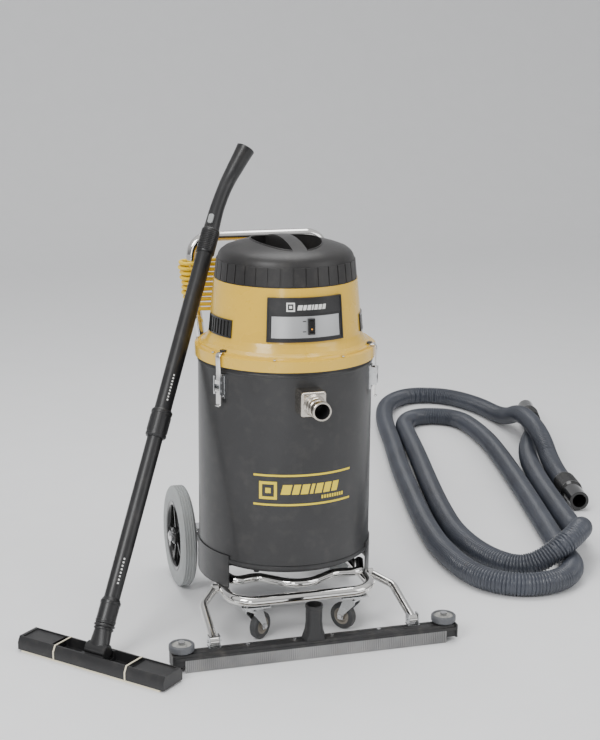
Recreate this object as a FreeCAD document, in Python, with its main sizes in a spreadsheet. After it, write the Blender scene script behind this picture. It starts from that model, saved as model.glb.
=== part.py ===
"""Wet and dry shop vacuum with a front squeegee, a hose, a wand and a floor tool.

The machine is modelled about its drum axis, front towards -Y, floor at z = 0, in millimetres.
machine_x and machine_y then move every sub-part, so that the origin is the bottom centre
of the whole set without its hose and power cord.
"""
import FreeCAD, Part
import math
import os
import re
import Sketcher

Vector = FreeCAD.Vector
Rotation = FreeCAD.Rotation
UP = Vector(0, 0, 1)
SIDES = (("left", -1), ("right", 1))

DIMENSIONS = {
    "machine_x": 154.92, "machine_y": 10.68,
    # drum
    "drum_radius": 204, "drum_wall": 2.5, "drum_floor_z": 176, "drum_top_z": 636, "drum_corner": 12,
    "foot_ring_height": 8,
    # cradle round the back of the drum
    "cradle_wall": 2.5, "cradle_low_z": 118, "cradle_high_z": 196, "cradle_angle": 252, "cradle_gap": 0.4,
    # head and lid
    "gasket_height": 6, "flange_radius": 211.6, "flange_low_z": 643, "flange_high_z": 668,
    "head_wall": 3, "cone_low_z": 700, "cone_low_radius": 178.5, "cone_high_z": 824,
    "cone_high_radius": 167, "lid_low_radius": 164.2, "lid_high_radius": 158.5, "band_high_z": 876,
    "dome_high_z": 918, "recess_floor_z": 868, "recess_half_width": 80, "recess_half_length": 120,
    "carry_bar_width": 34,
    # inlet
    "inlet_x": -5, "inlet_z": 579, "inlet_width": 58, "inlet_height": 57, "inlet_front_y": 250,
    "spigot_outer": 20, "spigot_bore": 17.5, "spigot_front_y": 310,
    # chassis
    "frame_tube_radius": 12.5, "frame_tube_z": 105, "frame_half_width": 172, "frame_front_y": 188,
    "axle_radius": 8, "axle_y": 232, "axle_z": 127, "axle_half": 226.4,
    # rear wheels
    "wheel_radius": 127, "wheel_width": 40, "wheel_x": 206, "wheel_rim_radius": 88,
    "running_gap": 0.05,
    # casters
    "caster_x": 119, "caster_y": 170, "caster_wheel_radius": 32, "caster_wheel_width": 20,
    "caster_trail": 24, "caster_axle_radius": 4, "fork_width": 27, "fork_gap": 21.6,
    # squeegee
    "arm_radius": 9.5, "arm_pivot_y": 88, "arm_pivot_z": 105, "arm_end_x": 236, "arm_end_y": 262,
    "arm_end_z": 54, "channel_half": 332, "channel_front_y": 294, "channel_rear_y": 256,
    "channel_low_z": 12, "channel_high_z": 40, "blade_half": 309, "blade_thick": 4,
    "suction_x": -7, "suction_y": 274, "suction_outer": 19, "suction_bore": 16, "suction_top_z": 121,
    "roller_x": 311, "roller_y": 268, "roller_radius": 29, "roller_low_z": 42, "roller_high_z": 59,
    # latches
    "latch_angle": 60, "latch_pin_radius": 3, "latch_pin_z": 608, "lever_pin_z": 589,
    "latch_pin_reach": 215,
    # wand, floor tool and hose
    "tube_radius": 20, "lower_tube_radius": 18.5, "coupling_radius": 24, "tube_wall": 2,
    "tool_half": 204, "tool_half_width": 35, "tool_high_z": 36, "tool_wall": 4, "barrel_radius": 16,
    "hose_diameter": 60, "cord_diameter": 9.5,
}

# machine axes: the wand leans from the floor tool back to the push handle
WAND_FOOT = Vector(-473, -190, 72)
WAND_HEAD = Vector(-136, 201, 881)
PIVOT_REACH = 39
TOOL_LINE = Vector(0.673, -0.740, 0)

# places along the wand, from its foot
CUFF_END = 70
LOWER_TUBE_START = 20
COUPLING_START = 458
COUPLING_END = 526
LOWER_TUBE_END = 488
UPPER_TUBE_START = 490
COLLAR_START = 925
UPPER_TUBE_END = 985
GRIP_BEND = 1045

# the hose's route on the floor; where it crosses itself, two points lie on a hump
HOSE_ROUTE = [
    (1075, 640), (1108, 790), (1132, 930), (1183, 1190), (1205, 1370), (1190, 1570), (1115, 1725),
    (985, 1760), (865, 1660), (785, 1460), (722, 1200), (648, 930), (585, 660), (527, 400),
    (495, 190), (505, -8), (587, -90), (703, -90), (785, -8), (797, 90), (843, 280), (898, 500),
    (951, 720), (999, 930), (1038, 1130), (1052, 1290), (1048, 1400), (985, 1466), (892, 1462),
    (832, 1391), (802, 1267), (744, 1018), (675, 749), (614, 489), (578, 285), (592, 90),
    (664, 8), (780, 8), (852, 90), (902, 215), (944, 400), (1002, 650), (1058, 845), (1110, 978),
    (1170, 1090), (1238, 1190), (1278, 1305),
]
HUMP_HEIGHT = 104
HOSE_HUMPS = (2, 3, 37, 38)

CORD_ROUTE = [
    (-98, 190, 684), (-110, 214, 684), (-117, 246, 674), (-108, 280, 668), (-78, 303, 670),
    (-40, 306, 678), (-6, 290, 688), (26, 268, 702),
]

GLAND_LENGTH = 34

doc = FreeCAD.newDocument("ShopVacuum")
sheet = doc.addObject("Spreadsheet::Sheet", "Dim")
nodes = {}


def fill_sheet():
    for row, (alias, number) in enumerate(DIMENSIONS.items(), start=1):
        sheet.set("A%d" % row, alias)
        sheet.set("B%d" % row, str(number))
        sheet.setAlias("B%d" % row, alias)
    doc.recompute()


def link(text):
    """Turn words of an expression into cells of the sheet."""
    return re.sub(r"[a-z][a-z_]*", lambda word: "Dim." + word.group(0), str(text))


def size(text):
    """The present value of an expression, in millimetres."""
    return float(doc.getObject("Dim").evalExpression(link(text)))


def bind(obj, prop, text):
    obj.setExpression(prop, link(text))


def place(obj, x="0", y="0", z="0", turn=None):
    """Put a sub-part at machine coordinates, moved by the machine's offset."""
    turn = turn or Rotation()
    obj.Placement = FreeCAD.Placement(Vector(0, 0, 0), turn)
    bind(obj, "Placement.Base.x", "%s + machine_x" % x)
    bind(obj, "Placement.Base.y", "%s + machine_y" % y)
    bind(obj, "Placement.Base.z", z)


def spot(obj, x="0", y="0", z="0", turn=None):
    """Put a helper solid at local coordinates."""
    obj.Placement = FreeCAD.Placement(Vector(0, 0, 0), turn or Rotation())
    bind(obj, "Placement.Base.x", x)
    bind(obj, "Placement.Base.y", y)
    bind(obj, "Placement.Base.z", z)


def keep(node, obj, x="0", y="0", z="0", turn=None):
    """Make an object the sub-part of that name."""
    obj.Label = node
    place(obj, x, y, z, turn)
    nodes[node] = obj
    return obj


def block(dx, dy, dz, x="0", y="0", z="0", turn=None):
    obj = doc.addObject("Part::Box", "block")
    bind(obj, "Length", dx)
    bind(obj, "Width", dy)
    bind(obj, "Height", dz)
    spot(obj, x, y, z, turn)
    return obj


def rod(radius, length, x="0", y="0", z="0", along=UP, angle=None):
    obj = doc.addObject("Part::Cylinder", "rod")
    bind(obj, "Radius", radius)
    bind(obj, "Height", length)
    if angle:
        bind(obj, "Angle", angle)
    spot(obj, x, y, z, Rotation(UP, along))
    return obj


def taper(radius_low, radius_high, length, x="0", y="0", z="0", along=UP):
    obj = doc.addObject("Part::Cone", "taper")
    bind(obj, "Radius1", radius_low)
    bind(obj, "Radius2", radius_high)
    bind(obj, "Height", length)
    spot(obj, x, y, z, Rotation(UP, along))
    return obj


def cut(base, tool):
    obj = doc.addObject("Part::Cut", "cut")
    obj.Base = base
    obj.Tool = tool
    return obj


def fuse(*shapes):
    obj = doc.addObject("Part::MultiFuse", "fuse")
    obj.Shapes = list(shapes)
    return obj


def common(*shapes):
    obj = doc.addObject("Part::MultiCommon", "common")
    obj.Shapes = list(shapes)
    return obj


def solids(*shapes):
    """Several separate solids that share one node."""
    obj = doc.addObject("Part::Compound", "set")
    obj.Links = list(shapes)
    return obj


def plane_of(body, role):
    for feature in body.Origin.OriginFeatures:
        if feature.Role == role:
            return feature


def outline(body, role, points):
    """A closed sketch whose corners are tied to the sheet."""
    sketch = body.newObject("Sketcher::SketchObject", "outline")
    sketch.AttachmentSupport = (plane_of(body, role), "")
    sketch.MapMode = "FlatFace"
    corners = [Vector(size(u), size(v), 0) for u, v in points]
    count = len(corners)
    for index in range(count):
        sketch.addGeometry(Part.LineSegment(corners[index], corners[(index + 1) % count]), False)
    for index in range(count):
        sketch.addConstraint(Sketcher.Constraint("Coincident", index, 2, (index + 1) % count, 1))
    for index, (u, v) in enumerate(points):
        tie(sketch, index, "DistanceX", u, corners[index].x, -2)
        tie(sketch, index, "DistanceY", v, corners[index].y, -1)
    return sketch


def tie(sketch, index, kind, text, number, axis):
    if abs(number) < 1e-9:
        sketch.addConstraint(Sketcher.Constraint("PointOnObject", index, 1, axis))
        return
    number_of = sketch.addConstraint(Sketcher.Constraint(kind, -1, 1, index, 1, number))
    sketch.setExpression("Constraints[%d]" % number_of, link(text))


def turned(points, angle=360):
    """A body turned about its Z axis from (radius, height) corners."""
    body = doc.addObject("PartDesign::Body", "turned")
    sketch = outline(body, "XZ_Plane", points)
    feature = body.newObject("PartDesign::Revolution", "revolution")
    feature.Profile = sketch
    feature.ReferenceAxis = (sketch, ["V_Axis"])
    feature.Angle = angle
    feature.Midplane = angle < 360
    sketch.Visibility = False
    return body


def padded(role, points, length):
    """A body padded both ways from a plane through its origin."""
    body = doc.addObject("PartDesign::Body", "padded")
    sketch = outline(body, role, points)
    feature = body.newObject("PartDesign::Pad", "pad")
    feature.Profile = sketch
    feature.Midplane = True
    bind(feature, "Length", length)
    return body


def ring(outer, inner, low, high):
    return turned([(outer, low), (outer, high), (inner, high), (inner, low)])


def bent_path(points, radii):
    """Straight runs joined by tangent arcs, one radius for each inner point."""
    edges = []
    last = points[0]
    for before, corner, after, radius in zip(points, points[1:], points[2:], radii):
        arriving = (corner - before).normalize()
        leaving = (after - corner).normalize()
        half = arriving.getAngle(leaving) / 2
        reach = radius * math.tan(half)
        start = corner - arriving * reach
        end = corner + leaving * reach
        inward = (leaving - arriving).normalize()
        middle = corner + inward * (radius / math.cos(half) - radius)
        edges.append(Part.LineSegment(last, start).toShape())
        edges.append(Part.Arc(start, middle, end).toShape())
        last = end
    edges.append(Part.LineSegment(last, points[-1]).toShape())
    return Part.Wire(edges)


def sweep(points, radii, radius):
    """A round bar along a bent path."""
    path = bent_path(points, radii)
    section = Part.Wire(Part.makeCircle(radius, points[0], points[1] - points[0]))
    return path.makePipeShell([section], True, True)


def bar(node, points, radii, radius, bore=None):
    """A bent bar or tube, as a feature with its own shape."""
    shape = sweep(points, radii, radius)
    if bore:
        shape = shape.cut(sweep(points, radii, bore))
    obj = doc.addObject("Part::Feature", "bent")
    obj.Shape = shape
    if node:
        keep(node, obj)
    return obj


def cord_radii(name, points):
    """The largest arc that each corner of a cord's route allows."""
    radii = []
    for before, corner, after in zip(points, points[1:], points[2:]):
        shorter = min((corner - before).Length, (after - corner).Length)
        half = (corner - before).getAngle(after - corner) / 2
        radii.append(0.45 * shorter / math.tan(half))
    print(name, "radii", [round(radius) for radius in radii])
    return radii


def cord(node, points, diameter):
    radii = cord_radii(node, points)
    obj = bar(node, points, radii, diameter / 2)
    length = bent_path(points, radii).Length
    expected = math.pi * diameter * diameter / 4 * length
    print(node, "length %.0f mm, volume ratio %.4f" % (length, obj.Shape.Volume / expected))


# ---------------------------------------------------------------- drum and cradle
def build_drum():
    shell = turned([
        ("0", "drum_floor_z"), ("drum_radius - drum_corner", "drum_floor_z"),
        ("drum_radius", "drum_floor_z + drum_corner"), ("drum_radius", "drum_top_z"),
        ("drum_radius - drum_wall", "drum_top_z"),
        ("drum_radius - drum_wall", "drum_floor_z + drum_corner + drum_wall / 2"),
        ("drum_radius - drum_corner - drum_wall / 2", "drum_floor_z + drum_wall"),
        ("0", "drum_floor_z + drum_wall"),
    ])
    hole = rod("spigot_outer", "drum_radius", "inlet_x", "0", "inlet_z", Vector(0, -1, 0))
    keep("drum", cut(shell, hole))
    keep("drum_foot_ring", ring(
        "drum_radius - drum_corner", "drum_radius - 3 * drum_corner",
        "drum_floor_z - foot_ring_height", "drum_floor_z"))
    keep("drum_rim_gasket", ring(
        "drum_radius", "drum_radius - 2 * drum_wall", "drum_top_z", "drum_top_z + gasket_height"))


def build_cradle():
    inner = "drum_radius + cradle_gap"
    outer = "drum_radius + cradle_gap + cradle_wall"
    height = "cradle_high_z - cradle_low_z"
    shell = cut(rod(outer, height, angle="cradle_angle"), rod(inner, height))
    start = 90 - DIMENSIONS["cradle_angle"] / 2
    keep("cradle_skirt", shell, z="cradle_low_z", turn=Rotation(UP, start))


# ---------------------------------------------------------------- inlet
def build_inlet():
    reach = "inlet_front_y - drum_radius + 20"
    box = block("inlet_width", reach, "inlet_height", "inlet_x - inlet_width / 2",
                "0 - inlet_front_y", "inlet_z - inlet_height / 2")
    forward = Vector(0, -1, 0)
    bore = rod("spigot_outer", "spigot_front_y", "inlet_x", "0", "inlet_z", forward)
    keep("inlet_housing", cut(cut(box, rod("drum_radius", "drum_top_z")), bore))
    spigot = turned([
        ("spigot_bore", "0"), ("spigot_outer", "0"), ("spigot_outer", "58"),
        ("spigot_outer + 3", "58"), ("spigot_outer + 3", "64"), ("spigot_outer", "66"),
        ("spigot_outer", "108"), ("spigot_outer + 1.5", "110"), ("spigot_outer + 1.5", "114"),
        ("spigot_bore", "114"),
    ])
    keep("inlet_spigot", spigot, "inlet_x", "114 - spigot_front_y", "inlet_z",
         Rotation(UP, forward))


# ---------------------------------------------------------------- head
def cone_radius(height):
    """Outer radius of the head's straight cone at a height."""
    return ("cone_low_radius - (cone_low_radius - cone_high_radius)"
            " * (%s - cone_low_z) / (cone_high_z - cone_low_z)" % height)


def cone_panel(low, high, inner_gap, thickness, angle):
    """A piece of the cone's wall, standing on the head's outer face."""
    return turned([
        (cone_radius(low) + " + %s" % inner_gap, low),
        (cone_radius(low) + " + %s + %s" % (inner_gap, thickness), low),
        (cone_radius(high) + " + %s + %s" % (inner_gap, thickness), high),
        (cone_radius(high) + " + %s" % inner_gap, high),
    ], angle)


def build_head():
    shell = turned([
        ("flange_radius", "flange_low_z"), ("flange_radius", "flange_high_z"),
        ("flange_radius - 8", "flange_high_z + 2"), ("flange_radius - 9", "flange_high_z + 6"),
        ("flange_radius - 15", "flange_high_z + 7"), ("flange_radius - 24", "flange_high_z + 13"),
        ("cone_low_radius + 3", "cone_low_z - 8"), ("cone_low_radius", "cone_low_z"),
        ("cone_high_radius", "cone_high_z"), ("cone_high_radius - head_wall", "cone_high_z"),
        ("cone_low_radius - head_wall", "cone_low_z"), ("flange_radius - 27", "flange_high_z + 10"),
        ("flange_radius - 17", "flange_high_z + 3"), ("flange_radius - 12", "flange_high_z - 2"),
        ("flange_radius - 4", "flange_high_z - 3"), ("flange_radius - 4", "flange_low_z"),
    ])
    opening = switch_block("16", "36", "30", "0")
    keep("head_shell", cut(cut(shell, opening), gland_form()))


def switch_block(width, height, depth, sink):
    """An upright block square to the sloping front of the head, at the switch's place."""
    slope = math.degrees(math.atan2(
        DIMENSIONS["cone_low_radius"] - DIMENSIONS["cone_high_radius"],
        DIMENSIONS["cone_high_z"] - DIMENSIONS["cone_low_z"]))
    obj = block(width, depth, height, "0 - %s / 2" % width, "0 - %s / 2 + %s" % (depth, sink),
                "0 - %s / 2" % height)
    holder = solids(obj)
    holder.Placement = FreeCAD.Placement(Vector(8, -176.5, 740), Rotation(Vector(1, 0, 0), -slope))
    return holder


def build_panel():
    front = Rotation(UP, -90)
    panel = cone_panel("707", "803", "0", "4", 58)
    spot(panel, turn=front)
    keep("control_panel", cut(panel, switch_block("16", "36", "30", "0")))
    plate = cone_panel("715", "763", "4", "0.8", 52)
    spot(plate, turn=front)
    keep("label_plate", cut(plate, switch_block("16", "36", "30", "0")))
    frame = cut(switch_block("16", "36", "16", "0"), switch_block("11", "29", "30", "0"))
    keep("switch_frame", frame)
    keep("switch_rocker", solids(switch_block("10", "26", "9", "-3.5")))
    grilles = []
    for _, sign in SIDES:
        grille = cone_panel("704", "744", "0", "3", 34)
        spot(grille, turn=Rotation(UP, -90 + sign * 76))
        grilles.append(grille)
    keep("vent_grilles", solids(*grilles))


def build_lid():
    dome = turned([
        ("lid_low_radius", "cone_high_z"), ("lid_high_radius", "band_high_z"),
        ("lid_high_radius - 4", "band_high_z + 8"), ("141", "893"), ("122", "900"), ("100", "906"),
        ("70", "912.5"), ("35", "916.6"), ("0", "dome_high_z"), ("0", "recess_floor_z - 8"),
        ("lid_high_radius - 9", "recess_floor_z - 8"),
        ("lid_low_radius - 4", "cone_high_z"),
    ])
    outline = doc.addObject("Part::Ellipse", "well_outline")
    bind(outline, "MajorRadius", "recess_half_length")
    bind(outline, "MinorRadius", "recess_half_width")
    spot(outline, "0", "0", "recess_floor_z", Rotation(UP, 90))
    well = doc.addObject("Part::Extrusion", "well")
    well.Base = outline
    well.DirMode = "Custom"
    well.Dir = UP
    well.Solid = True
    bind(well, "LengthFwd", "60")
    bar_block = block("carry_bar_width", "2 * recess_half_length + 10", "70", "0 - carry_bar_width / 2",
                      "0 - recess_half_length - 5", "recess_floor_z - 5")
    keep("lid", cut(dome, cut(well, bar_block)))


def build_head_screws():
    heads = [rod("3.5", "2.5", "%s * 45" % sign, "-25", "recess_floor_z") for _, sign in SIDES]
    for count in range(8):
        angle = math.radians(22.5 + 45 * count)
        reach = DIMENSIONS["flange_radius"] - 4
        heads.append(rod("3.4", "2.6", "%.3f" % (reach * math.cos(angle)),
                         "%.3f" % (reach * math.sin(angle)), "flange_high_z + 2.05"))
    keep("head_screws", solids(*heads))


# ---------------------------------------------------------------- inside the head and drum
def build_inside():
    deck = ring("cone_low_radius - head_wall", "70", "cone_low_z - 4", "cone_low_z")
    keep("motor", solids(fuse(rod("68", "110", z="cone_low_z"), rod("30", "25", z="cone_low_z + 110")),
                         fuse(rod("100", "40", z="cone_low_z - 44"), rod("40", "8", z="cone_low_z - 52")),
                         deck))
    cage = cut(rod("62", "90", z="cone_low_z - 142"), rod("59", "87", z="cone_low_z - 139"))
    keep("float_cage", solids(cage, rod("40", "45", z="cone_low_z - 138")))
    cloth = cut(taper("150", "190", "120", z="drum_top_z - 120"),
                taper("147", "187", "120", z="drum_top_z - 116"))
    keep("cloth_filter", cloth)


# ---------------------------------------------------------------- latches
def latch_turn(sign):
    return Rotation(UP, -90 + sign * DIMENSIONS["latch_angle"])


def build_latches():
    reach = "latch_pin_reach"
    side_way = Vector(0, 1, 0)
    brackets = []
    for side, sign in SIDES:
        plate = block("8", "24", "56", "200", "-12", "570")
        ears = [block("18", "2.5", "42", "203", "%s" % y, "580") for y in (-11, 8.5)]
        shape = cut(fuse(plate, *ears), rod("drum_radius", "drum_top_z"))
        for pin_z in ("latch_pin_z", "lever_pin_z"):
            shape = cut(shape, rod("latch_pin_radius", "40", reach, "-20", pin_z, side_way))
        pins = [rod("latch_pin_radius", "24", reach, "-12", z, side_way)
                for z in ("latch_pin_z", "lever_pin_z")]
        bracket = solids(shape, *pins)
        spot(bracket, turn=latch_turn(sign))
        brackets.append(bracket)
        hole = rod("latch_pin_radius + running_gap", "40", reach, "-20", "latch_pin_z", side_way)
        strap = fuse(rod("5", "14", reach, "-7", "latch_pin_z", side_way),
                     block("3", "14", "66", reach, "-7", "latch_pin_z + 2"),
                     block("14", "14", "3", "204", "-7", "latch_pin_z + 65"))
        keep("latch_strap_" + side, cut(strap, hole), turn=latch_turn(sign))
        hole = rod("latch_pin_radius + running_gap", "40", reach, "-20", "lever_pin_z", side_way)
        lever = fuse(rod("5", "15", reach, "-7.5", "lever_pin_z", side_way),
                     block("4", "15", "32", "212", "-7.5", "lever_pin_z - 33"))
        keep("latch_lever_" + side, cut(lever, hole), turn=latch_turn(sign))
    keep("latch_brackets", solids(*brackets))


# ---------------------------------------------------------------- chassis
def build_frame():
    z = DIMENSIONS["frame_tube_z"]
    half = DIMENSIONS["frame_half_width"]
    front = -DIMENSIONS["frame_front_y"]
    radius = DIMENSIONS["frame_tube_radius"]
    loop = [Vector(-148, 250, z), Vector(-152, 120, z), Vector(-half, 20, z), Vector(-half, front, z),
            Vector(half, front, z), Vector(half, 20, z), Vector(152, 120, z), Vector(148, 250, z)]
    bar("bumper_tube", loop, [150, 150, 58, 58, 150, 150], radius, radius - 2)
    top = z + radius + 11
    wave = [Vector(-172, -40, top), Vector(-150, -112, top), Vector(-92, -98, top), Vector(-8, -180, top),
            Vector(92, -120, top), Vector(150, -132, top), Vector(172, -62, top)]
    bar("inner_tube", wave, [20, 36, 70, 60, 22], 10.8)
    build_bearers()
    brackets = []
    for _, sign in SIDES:
        brackets.append(block("52", "44", "30", "%s * 139 - 26" % sign, "axle_y - 22", "118"))
    shape = cut(fuse(*brackets), rod("axle_radius", "400", "-200", "axle_y", "axle_z", Vector(1, 0, 0)))
    pieces = [shape]
    for _, sign in SIDES:
        stub = rod("6", "20.4", "%d * 180" % sign, "0 - arm_pivot_y", "arm_pivot_z", Vector(sign, 0, 0))
        rail = rod("frame_tube_radius", "300", "%d * frame_half_width" % sign, "-200", "frame_tube_z",
                   Vector(0, 1, 0))
        pieces.append(cut(stub, rail))
    keep("frame_brackets", solids(*pieces))
    axle = [rod("axle_radius", "2 * axle_half", "0 - axle_half", "axle_y", "axle_z", Vector(1, 0, 0))]
    for _, sign in SIDES:
        cap = turned([("0", "0"), ("14", "0"), ("14", "5"), ("9", "9"), ("0", "9")])
        spot(cap, "%d * axle_half" % sign, "axle_y", "axle_z", Rotation(UP, Vector(sign, 0, 0)))
        axle.append(cap)
    keep("rear_axle", solids(*axle))


def build_bearers():
    """Cross bars and posts that hold the drum above the frame."""
    plate_z = "drum_floor_z - foot_ring_height - cradle_wall"
    pieces = [block("2 * drum_radius - 60", "30", "cradle_wall", "30 - drum_radius", y, plate_z)
              for y in ("-105", "60")]
    pieces.append(rod("10", "2 * frame_half_width - 70", "35 - frame_half_width", "80",
                      "frame_tube_z", Vector(1, 0, 0)))
    for x, y, low in (("-92", "-90", "frame_tube_z + 34.4"), ("92", "-90", "frame_tube_z + 34.4"),
                      ("-92", "80", "frame_tube_z + 9"), ("92", "80", "frame_tube_z + 9")):
        pieces.append(rod("7", "%s - (%s)" % (plate_z, low), x, y, low))
    keep("drum_bearers", solids(*pieces))


def build_handle():
    radius = DIMENSIONS["frame_tube_radius"]
    rail = [Vector(-126, 238, 149), Vector(-138, 240, 560), Vector(-170, 245, 800),
            Vector(-166, 245, 884), Vector(166, 245, 884), Vector(170, 245, 800),
            Vector(138, 240, 560), Vector(126, 238, 149)]
    bar("push_handle", rail, [300, 220, 44, 44, 220, 300], radius, radius - 2)


def build_rear_wheels():
    out = Rotation(UP, Vector(1, 0, 0))
    for side, sign in SIDES:
        x = "%d * wheel_x" % sign
        tyre = turned([
            ("wheel_rim_radius", "0 - wheel_width / 2 + 3"), ("wheel_radius - 9", "0 - wheel_width / 2"),
            ("wheel_radius - 2", "0 - wheel_width / 2 + 5"), ("wheel_radius", "0 - wheel_width / 2 + 10"),
            ("wheel_radius", "wheel_width / 2 - 10"), ("wheel_radius - 2", "wheel_width / 2 - 5"),
            ("wheel_radius - 9", "wheel_width / 2"), ("wheel_rim_radius", "wheel_width / 2 - 3"),
        ])
        keep("rear_tyre_" + side, tyre, x, "axle_y", "axle_z", out)
        hub = turned([
            ("axle_radius + running_gap", "-20"), ("22", "-20"), ("22", "-8"), ("78", "-8"),
            ("80", "-17"), ("wheel_rim_radius", "-17"), ("wheel_rim_radius", "17"), ("80", "17"),
            ("78", "8"), ("22", "8"), ("22", "20"), ("axle_radius + running_gap", "20"),
        ])
        keep("rear_hub_" + side, hub, x, "axle_y", "axle_z", out)


# ---------------------------------------------------------------- casters
CASTER_YAW = {"left": 40, "right": 128}


def build_casters():
    mounts = []
    for side, sign in SIDES:
        x = "%d * caster_x" % sign
        y = "0 - caster_y"
        turn = Rotation(UP, CASTER_YAW[side])
        plate_z = "frame_tube_z - frame_tube_radius - 3"
        mounts.append(block("66", "52", "3", x + " - 33", y + " - 26", plate_z))
        mounts.append(taper("16", "19", "8.2", x, y, "frame_tube_z - frame_tube_radius - 11.2"))
        cheeks = padded("XZ_Plane", [("-15", "80.9"), ("15", "80.9"), ("caster_trail + 8", "38"),
                                     ("caster_trail + 7", "25"), ("caster_trail - 7", "25"),
                                     ("caster_trail - 9", "38"), ("-15", "70")], "fork_width")
        gap = block("120", "fork_gap", "75.9", "-50", "0 - fork_gap / 2", "0")
        hole = rod("caster_axle_radius", "60", "caster_trail", "-30", "caster_wheel_radius",
                   Vector(0, 1, 0))
        axle = rod("caster_axle_radius", "fork_width + 4", "caster_trail", "0 - fork_width / 2 - 2",
                   "caster_wheel_radius", Vector(0, 1, 0))
        keep("caster_fork_" + side, solids(cut(cut(cheeks, gap), hole), axle), x, y, turn=turn)
        half = "caster_wheel_width / 2"
        tyre = turned([
            ("20", "0 - %s" % half), ("caster_wheel_radius - 4", "0 - %s" % half),
            ("caster_wheel_radius", "4 - %s" % half), ("caster_wheel_radius", "%s - 4" % half),
            ("caster_wheel_radius - 4", half), ("20", half),
        ])
        hub = turned([
            ("caster_axle_radius + running_gap", "0 - %s" % half), ("20", "0 - %s" % half),
            ("20", half), ("caster_axle_radius + running_gap", half),
        ])
        yaw = math.radians(CASTER_YAW[side])
        wheel_turn = Rotation(UP, Vector(-math.sin(yaw), math.cos(yaw), 0))
        wheel_x = "%s + caster_trail * %.6f" % (x, math.cos(yaw))
        wheel_y = "%s + caster_trail * %.6f" % (y, math.sin(yaw))
        keep("caster_wheel_" + side, solids(tyre, hub), wheel_x, wheel_y, "caster_wheel_radius", wheel_turn)
    keep("caster_mounts", solids(*mounts))


# ---------------------------------------------------------------- squeegee
def build_squeegee_arms():
    pivot_y = -DIMENSIONS["arm_pivot_y"]
    pivot_z = DIMENSIONS["arm_pivot_z"]
    end = (DIMENSIONS["arm_end_x"], -DIMENSIONS["arm_end_y"], DIMENSIONS["arm_end_z"])
    arms = []
    for _, sign in SIDES:
        out = Vector(sign, 0, 0)
        route = [Vector(sign * 193, pivot_y, pivot_z), Vector(sign * 232, -138, 90),
                 Vector(sign * end[0], end[1], end[2])]
        tube = bar(None, route, [32], DIMENSIONS["arm_radius"])
        boss = rod("12", "13", "%d * 185.5" % sign, "0 - arm_pivot_y", "arm_pivot_z", out)
        eye = rod("arm_radius", "19", "%d * arm_end_x - 9.5" % sign, "0 - arm_end_y", "arm_end_z",
                  Vector(1, 0, 0))
        shape = cut(fuse(tube, boss, eye),
                    rod("6 + running_gap", "60", "%d * 150" % sign, "0 - arm_pivot_y", "arm_pivot_z", out))
        shape = cut(shape, rod("3 + running_gap", "60", "%d * arm_end_x - 30" % sign, "0 - arm_end_y",
                               "arm_end_z", Vector(1, 0, 0)))
        arms.append(shape)
    keep("squeegee_arms", solids(*arms))


def build_squeegee_head():
    wall = [("0 - channel_front_y", "channel_low_z"), ("0 - channel_front_y", "channel_high_z - 6"),
            ("4 - channel_front_y", "channel_high_z"), ("0 - channel_rear_y - 4", "channel_high_z"),
            ("0 - channel_rear_y", "channel_high_z - 6"), ("0 - channel_rear_y", "channel_low_z"),
            ("0 - channel_rear_y - 4", "channel_low_z"), ("0 - channel_rear_y - 4", "channel_high_z - 8"),
            ("4 - channel_front_y", "channel_high_z - 8"), ("4 - channel_front_y", "channel_low_z")]
    channel = padded("YZ_Plane", wall, "2 * channel_half")
    port = rod("suction_bore", "60", "suction_x", "0 - suction_y", "20")
    end_depth = "channel_front_y - channel_rear_y"
    end_caps = [block("4", end_depth, "channel_high_z - channel_low_z", "%s" % x,
                      "0 - channel_front_y", "channel_low_z")
                for x in ("0 - channel_half - 4", "channel_half")]
    keep("squeegee_channel", solids(cut(channel, port), *end_caps))
    front = block("2 * blade_half", "blade_thick", "30",
                  "0 - blade_half", "0 - channel_front_y - blade_thick", "0")
    rear = block("2 * blade_half + 22", "blade_thick", "26",
                 "0 - blade_half - 11", "0 - channel_rear_y", "0")
    keep("squeegee_blades", solids(front, rear))
    pipe = turned([
        ("suction_bore", "channel_high_z"), ("suction_outer + 9", "channel_high_z"),
        ("suction_outer + 8", "channel_high_z + 4"), ("suction_outer + 2", "channel_high_z + 22"),
        ("suction_outer", "channel_high_z + 40"), ("suction_outer", "suction_top_z"),
        ("suction_bore", "suction_top_z"),
    ])
    floor_slab = block("80", "60", "200", "-50", "0 - suction_y - 18", "30")
    holder = common(pipe_at(pipe), floor_slab)
    keep("suction_pipe", holder)
    build_brackets_and_rollers()


def pipe_at(pipe):
    spot(pipe, "suction_x", "0 - suction_y", "0")
    return pipe


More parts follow.
